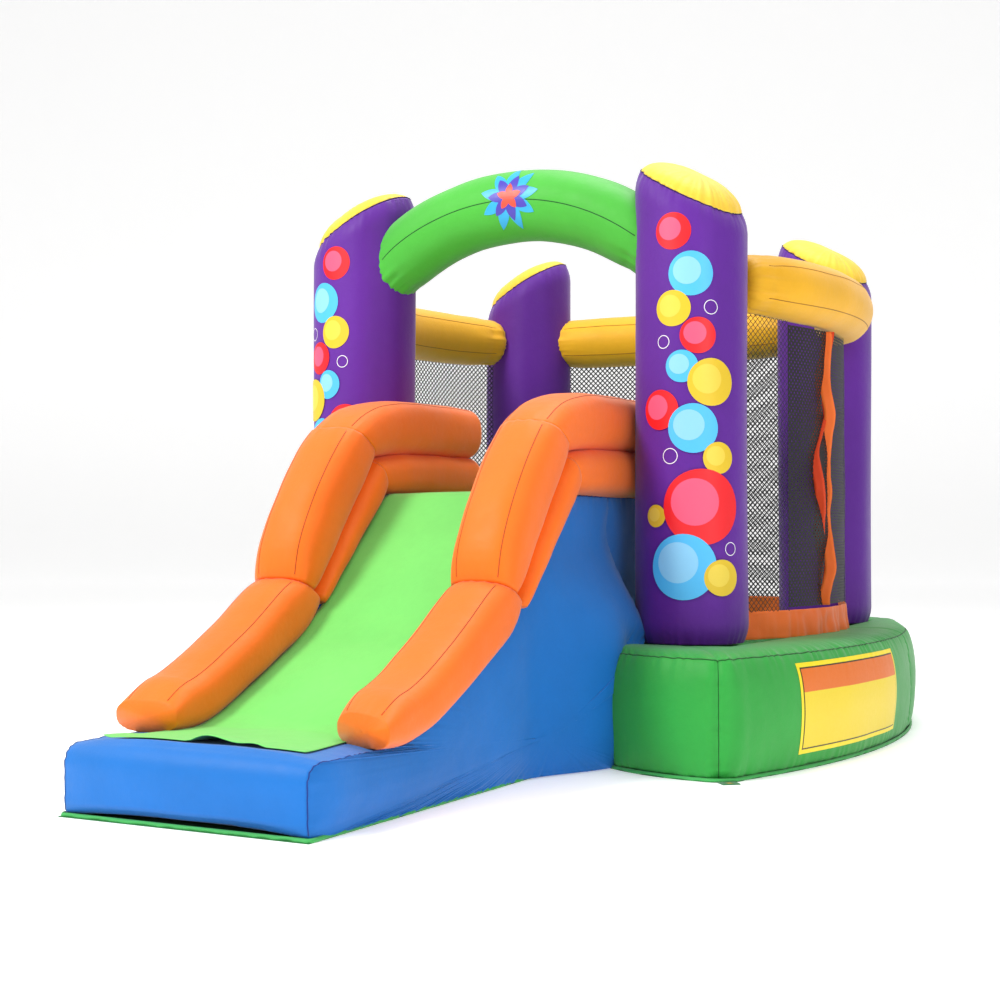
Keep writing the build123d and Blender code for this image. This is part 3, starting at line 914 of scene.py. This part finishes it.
def floor_piece():
    """Crowned channels side by side, gathered along the seams between them."""
    low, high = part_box("bounce_floor")
    pitch = (high.y - low.y) / FLOOR_CHANNELS
    top, crown = high.z, 0.034
    y = spaced(low.y, high.y, 0.010)
    place = ((y - low.y) / pitch) % 1.0
    height = top - crown + crown * np.sqrt(np.clip(1 - (2 * place - 1) ** 2, 0, 1)) ** 0.8
    outline = [(a, b) for a, b in zip(y, height)] + [(high.y, low.z), (low.y, low.z)]
    outline = np.array(outline)
    x = spaced(low.x, high.x, 0.014)
    grid = np.empty((len(x), len(outline), 3))
    seam = near(np.minimum(place, 1 - place) * pitch, 0.035)
    for i, across in enumerate(x):
        end = min(across - low.x, high.x - across)
        drop = 0.03 * np.exp(-end / 0.03)
        z = outline[:, 1].copy()
        z[: len(y)] -= drop + 0.004 * seam * (1 + ripple(np.full(1, across), 0.045, 1.0))
        grid[i] = np.column_stack([np.full(len(z), across), outline[:, 0], z])
    grid[:, : len(y), 2] += 0.003 * uneven(grid[:, : len(y)], 0.12, 2)
    chamber("bounce_floor_cover", grid, GREEN, ["bounce_floor"])
    for k in range(1, FLOOR_CHANNELS):
        column = int(round(k * pitch / (y[1] - y[0])))
        line = grid[3:-3, column] + UP * 0.0006
        thread(f"floor_seam_{k}", line, np.tile(UP, (len(line), 1)), GREEN_STITCH)


floor_piece()


# ---- slide ----

SLIDE_HALF = 0.43
FOOT_TOP, FOOT_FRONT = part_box("landing_cushion")[1].z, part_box("landing_cushion")[0].y
PLATFORM_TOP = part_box("slide_platform")[1].z
SLIDE_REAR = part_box("slide_upper_chamber")[1].y
SLIDE_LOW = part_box("landing_cushion")[1].y
SLIDE_BEND = (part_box("slide_lower_chamber")[1].y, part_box("slide_lower_chamber")[1].z)
SLIDE_HIGH = -0.63


def distance_to(points, outline):
    """How far each point is from a closed outline."""
    best = np.full(len(points), 9.0)
    for a, b in zip(outline, np.roll(outline, -1, 0)):
        run = b - a
        share = np.clip(((points - a) @ run) / max(run @ run, 1e-12), 0, 1)
        best = np.minimum(best, np.linalg.norm(points - a - share[:, None] * run, axis=1))
    return best


def pillow(outline, middle, half, crown, bulge, soft, seed):
    """A chamber cut to an outline seen from the side: a strip round it and two bulging side panels.

    Returns its grid, the outline's outward directions, the strip's first row and its number of rows.
    """
    away = np.roll(outline, -1, 0) - np.roll(outline, 1, 0)
    away /= np.linalg.norm(away, axis=1, keepdims=True)
    out = np.stack([away[:, 1], -away[:, 0]], -1)
    if ((outline - middle) * out).sum() < 0:
        out = -out
    step = np.linalg.norm(np.roll(outline, -1, 0) - outline, axis=1)
    along = np.r_[0, np.cumsum(step)[:-1]]
    x = half * (2 * eased(60) - 1)
    rows = []
    for across in x:
        share = abs(across) / half
        lift = crown(outline) * (1 - share**3.5)
        edge = half - abs(across)
        pucker = 0.0052 * np.exp(-edge / 0.030) * (1 + ripple(along, PUCKER, seed)) * 0.5
        pulled = outline + out * (lift - pucker)[:, None]
        rows.append(np.column_stack([np.full(len(outline), across), pulled]))
    shares = np.r_[0.992, 0.98, 0.965, 0.945, 0.92, 0.89, np.linspace(0.85, 0.06, 15)]
    panels = []
    for share in shares:
        flat = middle + (outline - middle) * share
        gap = distance_to(flat, outline)
        depth = np.clip(gap / soft, 0, 1)
        swell = bulge * (1 - (1 - depth) ** 2.2)
        pucker = 0.0045 * np.exp(-gap / 0.028) * ripple(along, PUCKER, seed) * np.clip(gap / 0.006, 0, 1)
        panels.append((flat, half + swell - pucker))
    left = [np.column_stack([-reach, flat]) for flat, reach in panels[::-1]]
    right = [np.column_stack([reach, flat]) for flat, reach in panels]
    grid = np.array(left + rows + right)
    return grid, out, len(left), len(rows)


def slide_crown(outline):
    """How much the strip swells: the ground and the face under the sheet stay flat."""
    y, z = outline[:, 0], outline[:, 1]
    foot = near(y - FOOT_FRONT, 0.10) * 0.022 * (z > 0.02)
    top = 0.008 * (z > 0.1) * (y > FOOT_FRONT + 0.05)
    return np.where(z < 0.012, 0.0, foot + top)


BODY_REAR, BODY_STEP = -0.27, 0.425  # the body's upper part goes back over the base, up to the posts


def flared(grid):
    """The body's lower sides spread where they meet the base, and the foot's front draws in."""
    x, y, z = grid[..., 0], grid[..., 1], grid[..., 2]
    spread = 0.15 * step_up(y, -0.98, -0.52) * (1 - step_up(z, 0.40, 0.80))
    x += x / SLIDE_HALF * spread
    front = 1 - step_up(y, FOOT_FRONT, FOOT_FRONT + 0.13)
    x *= 1 - 0.030 * front
    across = 1 - (np.clip(np.abs(x) / SLIDE_HALF, 0, 1)) ** 3
    z += 0.022 * front * across * (1 - step_up(z, 0.0, 0.12))
    return grid


def slide_body():
    """The slide's body, from the foot's rounded front to the base."""
    outline = rounded(
        [
            (FOOT_FRONT + 0.012, 0.002),
            (FOOT_FRONT + 0.006, FOOT_TOP),
            (SLIDE_LOW, FOOT_TOP),
            SLIDE_BEND,
            (SLIDE_HIGH, PLATFORM_TOP),
            (BODY_REAR, PLATFORM_TOP),
            (BODY_REAR, BODY_STEP),
            (SLIDE_REAR, BODY_STEP),
            (SLIDE_REAR, 0.002),
        ],
        [0.018, 0.065, 0.20, 0.30, 0.10, 0.03, 0.02, 0.02, 0.012],
        MESH_STEP,
    )
    middle = np.array([-0.85, 0.13])
    grid, out, first, strip = pillow(outline, middle, SLIDE_HALF, slide_crown, 0.022, 0.14, 0.8)
    grid[:, :, 2] = np.maximum(grid[:, :, 2], 0.002)
    grid = flared(grid)
    n = normals(grid)
    grid += n * (0.004 * uneven(grid, 0.20, 6))[..., None] * (grid[..., 2:3] > 0.02)
    nodes = ["landing_cushion", "slide_lower_chamber", "slide_upper_chamber"]
    made = chamber("slide_body_cover", grid, BLUE, nodes)
    shown = outline[:, 1] > 0.01
    shown &= (outline[:, 0] < SLIDE_REAR - 0.01) | (outline[:, 1] > PLATFORM_TOP - 0.03)
    order = np.argsort(np.where(shown, np.arange(len(outline)), 10**6))[: shown.sum()]
    for side, row in ((LEFT, first), (RIGHT, first + strip - 1)):
        line = grid[row, order]
        facing = np.column_stack([np.full(len(line), side * 0.7), out[order] * 0.7])
        name = "right" if side == RIGHT else "left"
        thread(f"slide_{name}_side_seam", line, facing, BLUE_STITCH, lift=0.0008)
    return made


def platform():
    """The wedge between the posts that the children step on."""
    low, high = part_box("slide_platform")
    outline = rounded(
        [(low.y, low.z), (low.y, high.z), (0.02, high.z), (high.y, low.z)],
        [0.01, 0.012, 0.05, 0.02],
        MESH_STEP,
    )
    middle = np.array([-0.2, 0.66])
    half = SLIDE_HALF - 0.006
    grid, *_ = pillow(outline, middle, half, lambda o: 0.004 * (o[:, 1] > 0.5), 0.018, 0.14, 2.8)
    return chamber("slide_platform_cover", grid, BLUE, ["slide_platform"])


slide_tops = surface_of(slide_body(), platform())


def foot_hem():
    reach = SLIDE_HALF - 0.004
    front = FOOT_FRONT + 0.010
    corners = [(-reach, SLIDE_REAR - 0.03), (-reach, front), (reach, front), (reach, SLIDE_REAR - 0.03)]
    points = resampled(corners, 0.012)
    step = np.linalg.norm(np.diff(points, axis=0), axis=1)
    along = np.r_[0, np.cumsum(step)]
    out = np.where(
        (points[:, 1:] > front + 0.006),
        np.column_stack([np.sign(points[:, 0]), 0 * points[:, 0]]),
        np.column_stack([0 * points[:, 0], -np.ones(len(points))]),
    )
    hem("slide_hem", points, out, along, False)


foot_hem()


def rested(grid, trees, gap):
    """The grid lifted where it would go into what it lies on."""
    for row in grid:
        for point in row:
            start = Vector((point[0], point[1], 3.0))
            for tree in trees:
                below = tree.ray_cast(start, Vector((0, 0, -1)))[0]
                if below is not None:
                    point[2] = max(point[2], below.z + gap)
    return grid


def slide_sheet(under):
    """The sheet on the sliding face, with its loose front edge waving on the foot."""
    low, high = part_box("slide_sheet")
    flap_low, flap_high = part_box("slide_sheet_flap")
    half = (high.x - low.x) / 2 + 0.020
    corners = [
        (high.y, PLATFORM_TOP),
        (SLIDE_HIGH, PLATFORM_TOP),
        SLIDE_BEND,
        (SLIDE_LOW, FOOT_TOP),
        (flap_low.y - 0.012, FOOT_TOP),
    ]
    line = smooth_line(corners, 0.014, order=3)
    x = spaced(-half, half, 0.014)
    grid = np.empty((len(line), len(x), 3))
    share = x / half
    for i, (y, z) in enumerate(line):
        flap = np.clip((flap_high.y - y) / (flap_high.y - flap_low.y), 0, 1)
        wide = half * (1 + 0.16 * flap)
        wave = flap**1.5 * (0.018 * np.sin(5.2 * share + 0.7) + 0.012 * np.sin(10.5 * share + 2.1) + 0.016)
        ragged = flap * (0.022 * np.sin(4.1 * share + 1.0) + 0.020 * share - 0.05)
        dip = -0.004 * (1 - share**2) * (1 - flap)
        grid[i] = np.column_stack([share * wide, y + ragged, z + wave + dip])
    grid[..., 2] += 0.0035 * uneven(grid, 0.10, 9)
    grid = rested(grid, under, 0.005)
    made = mesh_object("slide_sheet_cover", grid, LIME, around=False)
    thicker(made, 0.0018)
    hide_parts("slide_sheet", "slide_sheet_flap")
    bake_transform(made)


slide_sheet(slide_tops)


# ---- slide walls ----

WALL_LOW, WALL_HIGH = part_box("right_wall_upper_rail")
WALL_X = (WALL_LOW.x + WALL_HIGH.x) / 2
WALL_HALF = (WALL_HIGH.x - WALL_LOW.x) / 2
RAIL_END = WALL_HIGH.y
WALL_SWELL = 1.14  # how far the walls' sides swell past the CAD ones
# Each chamber of a wall as stations from the rear to the front: its top edge (y, z), then its bottom edge.
UPPER_RAIL = [
    ((RAIL_END, 1.300), (RAIL_END, 1.106)),
    ((-0.30, 1.300), (-0.30, 1.104)),
    ((-0.560, 1.290), (-0.50, 1.098)),
    ((-0.720, 1.256), (-0.61, 1.090)),
    ((-0.862, 1.180), (-0.690, 1.075)),
]
UPPER_SLOPE = [
    ((-0.862, 1.180), (-0.690, 1.075)),
    ((-0.990, 1.045), (-0.780, 0.962)),
    ((-1.100, 0.890), (-0.890, 0.826)),
    ((-1.165, 0.760), (-0.985, 0.710)),
    ((-1.187, 0.655), (-1.075, 0.600)),
]
LOWER_RAIL = [
    ((RAIL_END, 1.106), (RAIL_END, 0.938)),
    ((-0.30, 1.104), (-0.30, 0.938)),
    ((-0.50, 1.098), (-0.50, 0.938)),
    ((-0.690, 1.075), (-0.630, 0.938)),
]
LOWER_SLOPE = [
    ((-0.690, 1.075), (-0.630, 0.938)),
    ((-0.830, 0.902), (-0.750, 0.824)),
    ((-0.960, 0.742), (-0.900, 0.682)),
    ((-1.075, 0.600), (-1.031, 0.5575)),
]
BOLSTER = [
    ((-1.187, 0.655), (-1.031, 0.5575)),
    ((-1.270, 0.605), (-1.120, 0.468)),
    ((-1.400, 0.518), (-1.270, 0.394)),
    ((-1.560, 0.428), (-1.450, 0.306)),
    ((-1.690, 0.366), (-1.580, 0.244)),
    ((-1.760, 0.350), (-1.700, 0.208)),
    ((-1.838, 0.300), (-1.832, 0.207)),
]


WALL_SQUARE = 2.7  # how square the walls are in section: 2 is an ellipse
BOLSTER_SHEAR = 0.05  # how far the right bolster's front end is cut on the slant


def wall_chamber(stations, side, full, drawn, shear):
    """Rings through a chamber's stations: a rounded box in section, drawn in at its two end seams."""
    edges = np.array([top + bottom for top, bottom in stations])
    line = smooth_line(edges, 0.012, order=2)
    high, low = line[:, :2], line[:, 2:]
    middle = (high + low) / 2
    length = np.r_[0, np.cumsum(np.linalg.norm(np.diff(middle, axis=0), axis=1))]
    turn = np.linspace(0, 2 * pi, 77)[:-1]
    flat, tall = (np.sign(v) * np.abs(v) ** (2 / WALL_SQUARE) for v in (np.cos(turn), np.sin(turn)))
    rows = []
    for place, (mid, top) in enumerate(zip(middle, high)):
        to_start, to_end = length[place], length[-1] - length[place]
        pinch = drawn[0] * np.exp(-to_start / 0.030) + drawn[1] * np.exp(-to_end / 0.030)
        seam = np.exp(-to_start / 0.035) * (drawn[0] > 0) + np.exp(-to_end / 0.035) * (drawn[1] > 0)
        size = 1 - pinch - 0.030 * seam * ripple(turn * 0.11, PUCKER, side + length[-1])
        up = (top - mid) * full
        x = side * WALL_X + WALL_HALF * WALL_SWELL * flat * (1 - pinch * 0.4)
        yz = mid[None, :] + up[None, :] * (tall * size)[:, None]
        yz[:, 0] -= shear * flat * np.exp(-to_end / 0.16)
        rows.append(np.column_stack([x, yz]))
    grid = np.array(rows)
    n = normals(grid)
    return grid + n * (0.0035 * uneven(grid, 0.13, side * 3 + length[-1]))[..., None], n


def slide_wall(side):
    """Two stacked rails that turn down together, then one long bolster."""
    name = "right" if side == RIGHT else "left"
    # Stations, how full the chamber is, and how far it is drawn in at its rear and front seams.
    chambers = {
        "upper_rail": (UPPER_RAIL, 1.06, (0.0, 0.08)),
        "upper_slope": (UPPER_SLOPE, 1.12, (0.10, 0.18)),
        "lower_rail": (LOWER_RAIL, 1.06, (0.0, 0.10)),
        "lower_slope": (LOWER_SLOPE, 1.06, (0.10, 0.12)),
        "bolster": (BOLSTER, 1.12, (0.16, 0.10)),
    }
    for part, (stations, full, drawn) in chambers.items():
        shear = BOLSTER_SHEAR if side == RIGHT and part == "bolster" else 0.0
        grid, out = wall_chamber(stations, side, full, drawn, shear)
        chamber(f"{name}_wall_{part}_cover", grid, ORANGE, [f"{name}_wall_{part}"])
        if not part.startswith("lower"):
            seams = f"{name}_wall_{part}"
            lengthways_seams(seams, grid, out, (12, 26), 2, ORANGE_STITCH, 0.0014)


for side in (RIGHT, LEFT):
    slide_wall(side)


# ---- nets, skirts and the door ----

BEAM_LOW, BEAM_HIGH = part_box("right_beam")
NET_X, NET_Y, NET_R = bow(
    [(BEAM_END_X, BEAM_END_Y[0]), (BEAM_END_X, BEAM_END_Y[1])],
    BEAM_HIGH.x - (BEAM_HIGH.z - BEAM_LOW.z) / 2,
)


def along_side(y_range, step):
    """Angles along the side's arc between two places in Y."""
    low, high = (np.arcsin(np.clip((y - NET_Y) / NET_R, -1, 1)) for y in y_range)
    return spaced(low, high, step / NET_R)


def side_cloth(side, angles, heights):
    """A grid of points on the side's arc."""
    a, z = np.meshgrid(angles, heights)
    return np.stack([side * (NET_X + NET_R * np.cos(a)), NET_Y + NET_R * np.sin(a), z], -1)


def rear_cloth(node, step_x, step_z, over):
    """A grid of points on the rear pieces' arc, as tall as the node and reaching over its top."""
    low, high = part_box(node)
    x = spaced(low.x - 0.01, high.x + 0.01, step_x)
    x, z = np.meshgrid(x, spaced(low.z - 0.004, high.z + over, step_z))
    return np.stack([x, rear_line(x, high.y - 0.001), z], -1)


def cloth_piece(name, grid, material, slot, node, body=HOUSE):
    """A sheet of cloth that stands for a node. A net has no thickness: its strands are its pattern."""
    made = mesh_object(name, grid, material, around=False)
    if slot != "net_mesh":
        thicker(made, 0.0015)
    placed(made, [node], body)


def side_net(name, side, y_range, material):
    """The net between a beam and its skirt."""
    low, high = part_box(name)
    angles = along_side(y_range, 0.02)
    heights = spaced(low.z - 0.004, high.z + 0.012, 0.03)
    grid = side_cloth(side, angles, heights)
    grid[..., 0] += side * 0.005 * uneven(grid, 0.30, 3)
    cloth_piece(f"{name}_cloth", grid, material, "net_mesh", name)


def nets():
    for name, side, material in (
        ("left_net", LEFT, NET), ("right_net", RIGHT, FINE_NET), ("right_rear_net", RIGHT, NET),
    ):
        low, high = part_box(name)
        side_net(name, side, (low.y - 0.01, high.y + 0.01), material)
    grid = rear_cloth("rear_net", 0.02, 0.03, 0.012)
    grid[..., 1] += 0.005 * uneven(grid, 0.30, 1)
    cloth_piece("rear_net_cloth", grid, NET, "net_mesh", "rear_net")


def skirt_shape(grid, out, seed):
    """A skirt sags into soft folds below its top edge."""
    wide = np.r_[0, np.cumsum(np.linalg.norm(np.diff(grid[0], axis=0), axis=1))]
    share = np.linspace(1, 0, len(grid))[:, None]
    wide = wide[None, :]
    folds = 0.007 * share * ripple(wide, 0.16, seed) + 0.004 * share**0.5 * ripple(wide, 0.061, seed)
    crumple = 0.006 * uneven(grid, 0.055, seed)
    return grid + out * (folds + crumple + 0.010 * share)[..., None]


def skirts():
    for side in (RIGHT, LEFT):
        name = "right_skirt" if side == RIGHT else "left_skirt"
        low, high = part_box(name)
        angles = along_side((low.y - 0.01, high.y + 0.01), 0.01)
        grid = side_cloth(side, angles, spaced(low.z - 0.004, high.z, 0.008))
        out = grid - np.array([side * NET_X, NET_Y, 0])
        out[..., 2] = 0
        out /= np.linalg.norm(out, axis=2, keepdims=True)
        grid = skirt_shape(grid, out, 1.0 + side)
        cloth_piece(f"{name}_cloth", grid, SKIRT_ORANGE, "skirt_fabric", name)
    grid = rear_cloth("rear_skirt", 0.01, 0.008, 0.0)
    out = np.zeros_like(grid)
    out[..., 1] = 1
    folded = skirt_shape(grid, out, 4.0)
    cloth_piece("rear_skirt_cloth", folded, SKIRT_ORANGE, "skirt_fabric", "rear_skirt")


BINDING_HALF = 0.021  # half width of the ribbon along a door flap's free edge


def door_wave(z):
    """How far the door's free edge wanders along the arc, at each height."""
    return 0.020 * np.sin(7.5 * z + 0.4) + 0.011 * np.sin(17.0 * z + 1.0) + 0.004 * np.sin(41.0 * z)


DOOR_GAPE_Z = 1.03  # height at which the inner flap's edge bulges forward


def door_flap(name, edge_side, body, material, stand, wave_share):
    """A net flap with its bound free edge. edge_side is 1 when that edge is the flap's rear one."""
    low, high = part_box(name)
    heights = spaced(low.z, high.z, 0.012)
    wander = wave_share * door_wave(heights) - (0.030 if edge_side > 0 else -0.030) * wave_share
    first, last = low.y, high.y
    gape = 0.11 * near(heights - DOOR_GAPE_Z, 0.20)
    start = np.full_like(heights, first) if edge_side > 0 else first + wander - gape
    end = last + wander if edge_side > 0 else np.full_like(heights, last)
    share = np.linspace(0, 1, 26)[None, :]
    y = start[:, None] + (end - start)[:, None] * share
    angle = np.arcsin(np.clip((y - NET_Y) / NET_R, -1, 1))
    away = share if edge_side > 0 else 1 - share
    flutter = stand * away + 0.004 * away * np.sin(9 * heights)[:, None]
    radius = NET_R + flutter
    z = np.broadcast_to(heights[:, None], angle.shape)
    grid = np.stack([NET_X + radius * np.cos(angle), NET_Y + radius * np.sin(angle), z], -1)
    cloth_piece(f"{name}_cloth", grid, DOOR_NET, "net_mesh", name, body=body)
    edge = grid[:, -1] if edge_side > 0 else grid[:, 0]
    out = edge - np.array([NET_X, NET_Y, 0])
    out[:, 2] = 0
    out /= np.linalg.norm(out, axis=1, keepdims=True)
    beside = np.stack([-out[:, 1], out[:, 0], 0 * out[:, 0]], -1)
    curl = (0.016 * np.sin(9.0 * heights + 0.5 + stand * 300) + 0.008 * np.sin(21 * heights))[:, None]
    turned = beside * 0.35 + out * 0.94
    rows = [
        edge + turned * (offset * BINDING_HALF) + out * (0.004 + curl)
        for offset in (-1.0, -0.5, 0.0, 0.5, 1.0)
    ]
    strip = np.stack([np.asarray(row) for row in rows], 1)
    strip += out[:, None] * (0.0025 * uneven(strip, 0.05, 3))[..., None]
    binding = "door_flap_binding" if name == "door_flap" else "inner_flap_binding"
    cloth_piece(f"{binding}_cloth", strip, material, "binding_fabric", binding, body)


nets()
skirts()
door_flap("door_flap", 1, "door_flap_body", SKIRT_ORANGE, 0.006, 1.0)
door_flap("inner_door_flap", -1, "inner_door_flap_body", DEEP_ORANGE, -0.006, -0.6)


# ---- patches and fittings ----


def side_label():
    """A blank two-tone patch on the base's side, with a narrow border."""
    low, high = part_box("side_label")
    tree = surface_of(base_made)[0]

    def panel(name, y, z, lift, material, nodes=()):
        across, up = spaced(*y, 0.012), spaced(*z, 0.012)
        rows = []
        for height in up:
            starts = [(2.0, place, height) for place in across]
            rows.append(laid_on(tree, starts, [(-1, 0, 0)] * len(starts), lift))
        return placed(mesh_object(name, np.array(rows), material, around=False), nodes)

    high.z -= 0.014
    high.y += 0.050
    panel("side_label_patch", (low.y, high.y), (low.z, high.z), 0.0012, LABEL_YELLOW, ["side_label"])
    band = low.z + 0.68 * (high.z - low.z)
    edge = 0.020
    inset = edge - 0.005
    line_y, line_z = (low.y + inset, high.y - inset), (low.z + inset, high.z - inset)
    panel("side_label_line", line_y, line_z, 0.0017, LABEL_EDGE)
    panel("side_label_band", (low.y + edge, high.y - edge), (band, high.z - edge), 0.0022, LABEL_ORANGE)
    panel("side_label_field", (low.y + edge, high.y - edge), (low.z + edge, band), 0.0022, LABEL_FIELD)


side_label()


def inlet_sleeve():
    """The blower's sleeve: soft cloth, gathered under its strap."""
    low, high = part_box("air_inlet_sleeve")
    strap_low, strap_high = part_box("inlet_strap")
    centre = np.array([(low.x + high.x) / 2, 0, (low.z + high.z) / 2])
    radius = (high.x - low.x) / 2
    strap = (strap_low.y + strap_high.y) / 2
    turn = np.linspace(0, 2 * pi, 73)[:-1]
    circle = np.stack([np.cos(turn), 0 * turn, np.sin(turn)], -1)
    outside, inside = [], []
    for y in spaced(low.y - 0.02, high.y, 0.008):
        tied = near(y - strap, 0.030)
        folds = 0.003 * ripple(turn * radius, 0.05, 2.0) * (1 - tied)
        folds = folds + 0.0015 * ripple(turn * radius, 0.02, 1.0) * tied
        reach = radius - 0.0035 - 0.001 * tied + folds * 0.6
        ring = centre + circle * reach[:, None]
        ring[:, 1] = y
        outside.append(ring)
        inner = centre + circle * (reach - 0.0018)[:, None]
        inner[:, 1] = y
        inside.append(inner)
    grid = np.array(outside + inside[::-1])
    made = mesh_object("air_inlet_sleeve_cloth", grid, GREEN, True, True)
    placed(made, ["air_inlet_sleeve"])


inlet_sleeve()


def paint(node, material):
    """A CAD node whose shape stays gets its material."""
    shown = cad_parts[node]
    shown.data.materials.clear()
    shown.data.materials.append(material)


for node, material in {
    "ground_sheet": GROUND,
    "slide_ground_sheet": GROUND,
    "floor_baffles": WEB,
    "slide_webs": WEB,
    "anchor_tabs": GREEN_TAPE,
    "anchor_grommets": BRASS,
    "inlet_strap": TAPE,
    "inlet_buckle": PLASTIC,
    "zip_tape": TAPE,
    "zip_slider": ZIP_METAL,
    "zip_pull_tab": ZIP_METAL,
}.items():
    paint(node, material)


# ---- studio ----


def studio_floor():
    """A pale floor that curves up behind the object."""
    shader = Shader("studio_paper")
    unevenness = shader.between(shader.noise(1.5), 0.0, 0.3)
    paper = shader.mixed(unevenness, linear(244, 244, 244), linear(250, 250, 250))
    shader.link(paper, shader.surface.inputs["Base Color"])
    shader.surface.inputs["Roughness"].default_value = 0.9
    shader.surface.inputs["Emission Color"].default_value = (1, 1, 1, 1)
    shader.surface.inputs["Emission Strength"].default_value = 0.32
    x = np.linspace(-30, 30, 3)
    line = smooth_line([(-12, 0), (16, 0), (24, 0), (24, 8), (24, 20)], 0.6)
    grid = np.array([[(a, y, z - 0.0005) for a in x] for y, z in line])
    for row in grid:
        row[:, :2] = np.stack(
            [
                row[:, 0] * cos(CAMERA_YAW) - row[:, 1] * sin(CAMERA_YAW),
                row[:, 0] * sin(CAMERA_YAW) + row[:, 1] * cos(CAMERA_YAW),
            ],
            -1,
        )
    mesh_object("studio_floor", grid, shader.material, around=False)


def lamp(name, place, target, size, power, colour=(1, 1, 1)):
    data = bpy.data.lights.new(name, "AREA")
    data.shape = "DISK"
    data.size = size
    data.energy = power
    data.color = colour
    made = bpy.data.objects.new(name, data)
    made.location = place
    made.rotation_euler = (Vector(target) - Vector(place)).to_track_quat("-Z", "Y").to_euler()
    bpy.context.scene.collection.objects.link(made)


def studio():
    studio_floor()
    bpy.context.scene.view_settings.view_transform = "Standard"
    world = bpy.data.worlds.new("studio_world")
    world.use_nodes = True
    world.node_tree.nodes["Background"].inputs["Color"].default_value = (1, 1, 1, 1)
    world.node_tree.nodes["Background"].inputs["Strength"].default_value = 0.50
    bpy.context.scene.world = world
    middle = (0, 0, 0.9)
    lamp("key", (-3.5, -7.5, 7.5), middle, 2.6, 820, (1.0, 0.98, 0.95))
    lamp("fill", (7.0, -5.0, 4.0), middle, 4.0, 170)
    lamp("top", (0.5, 1.5, 8.0), middle, 4.0, 360)
    camera = bpy.data.objects.new("camera", bpy.data.cameras.new("camera"))
    camera.data.lens = CAMERA_LENS
    camera.data.sensor_width = 36
    camera.location = CAMERA_AT
    camera.rotation_euler = (pi / 2 + CAMERA_PITCH, 0, CAMERA_YAW)
    bpy.context.scene.collection.objects.link(camera)
    bpy.context.scene.camera = camera


studio()
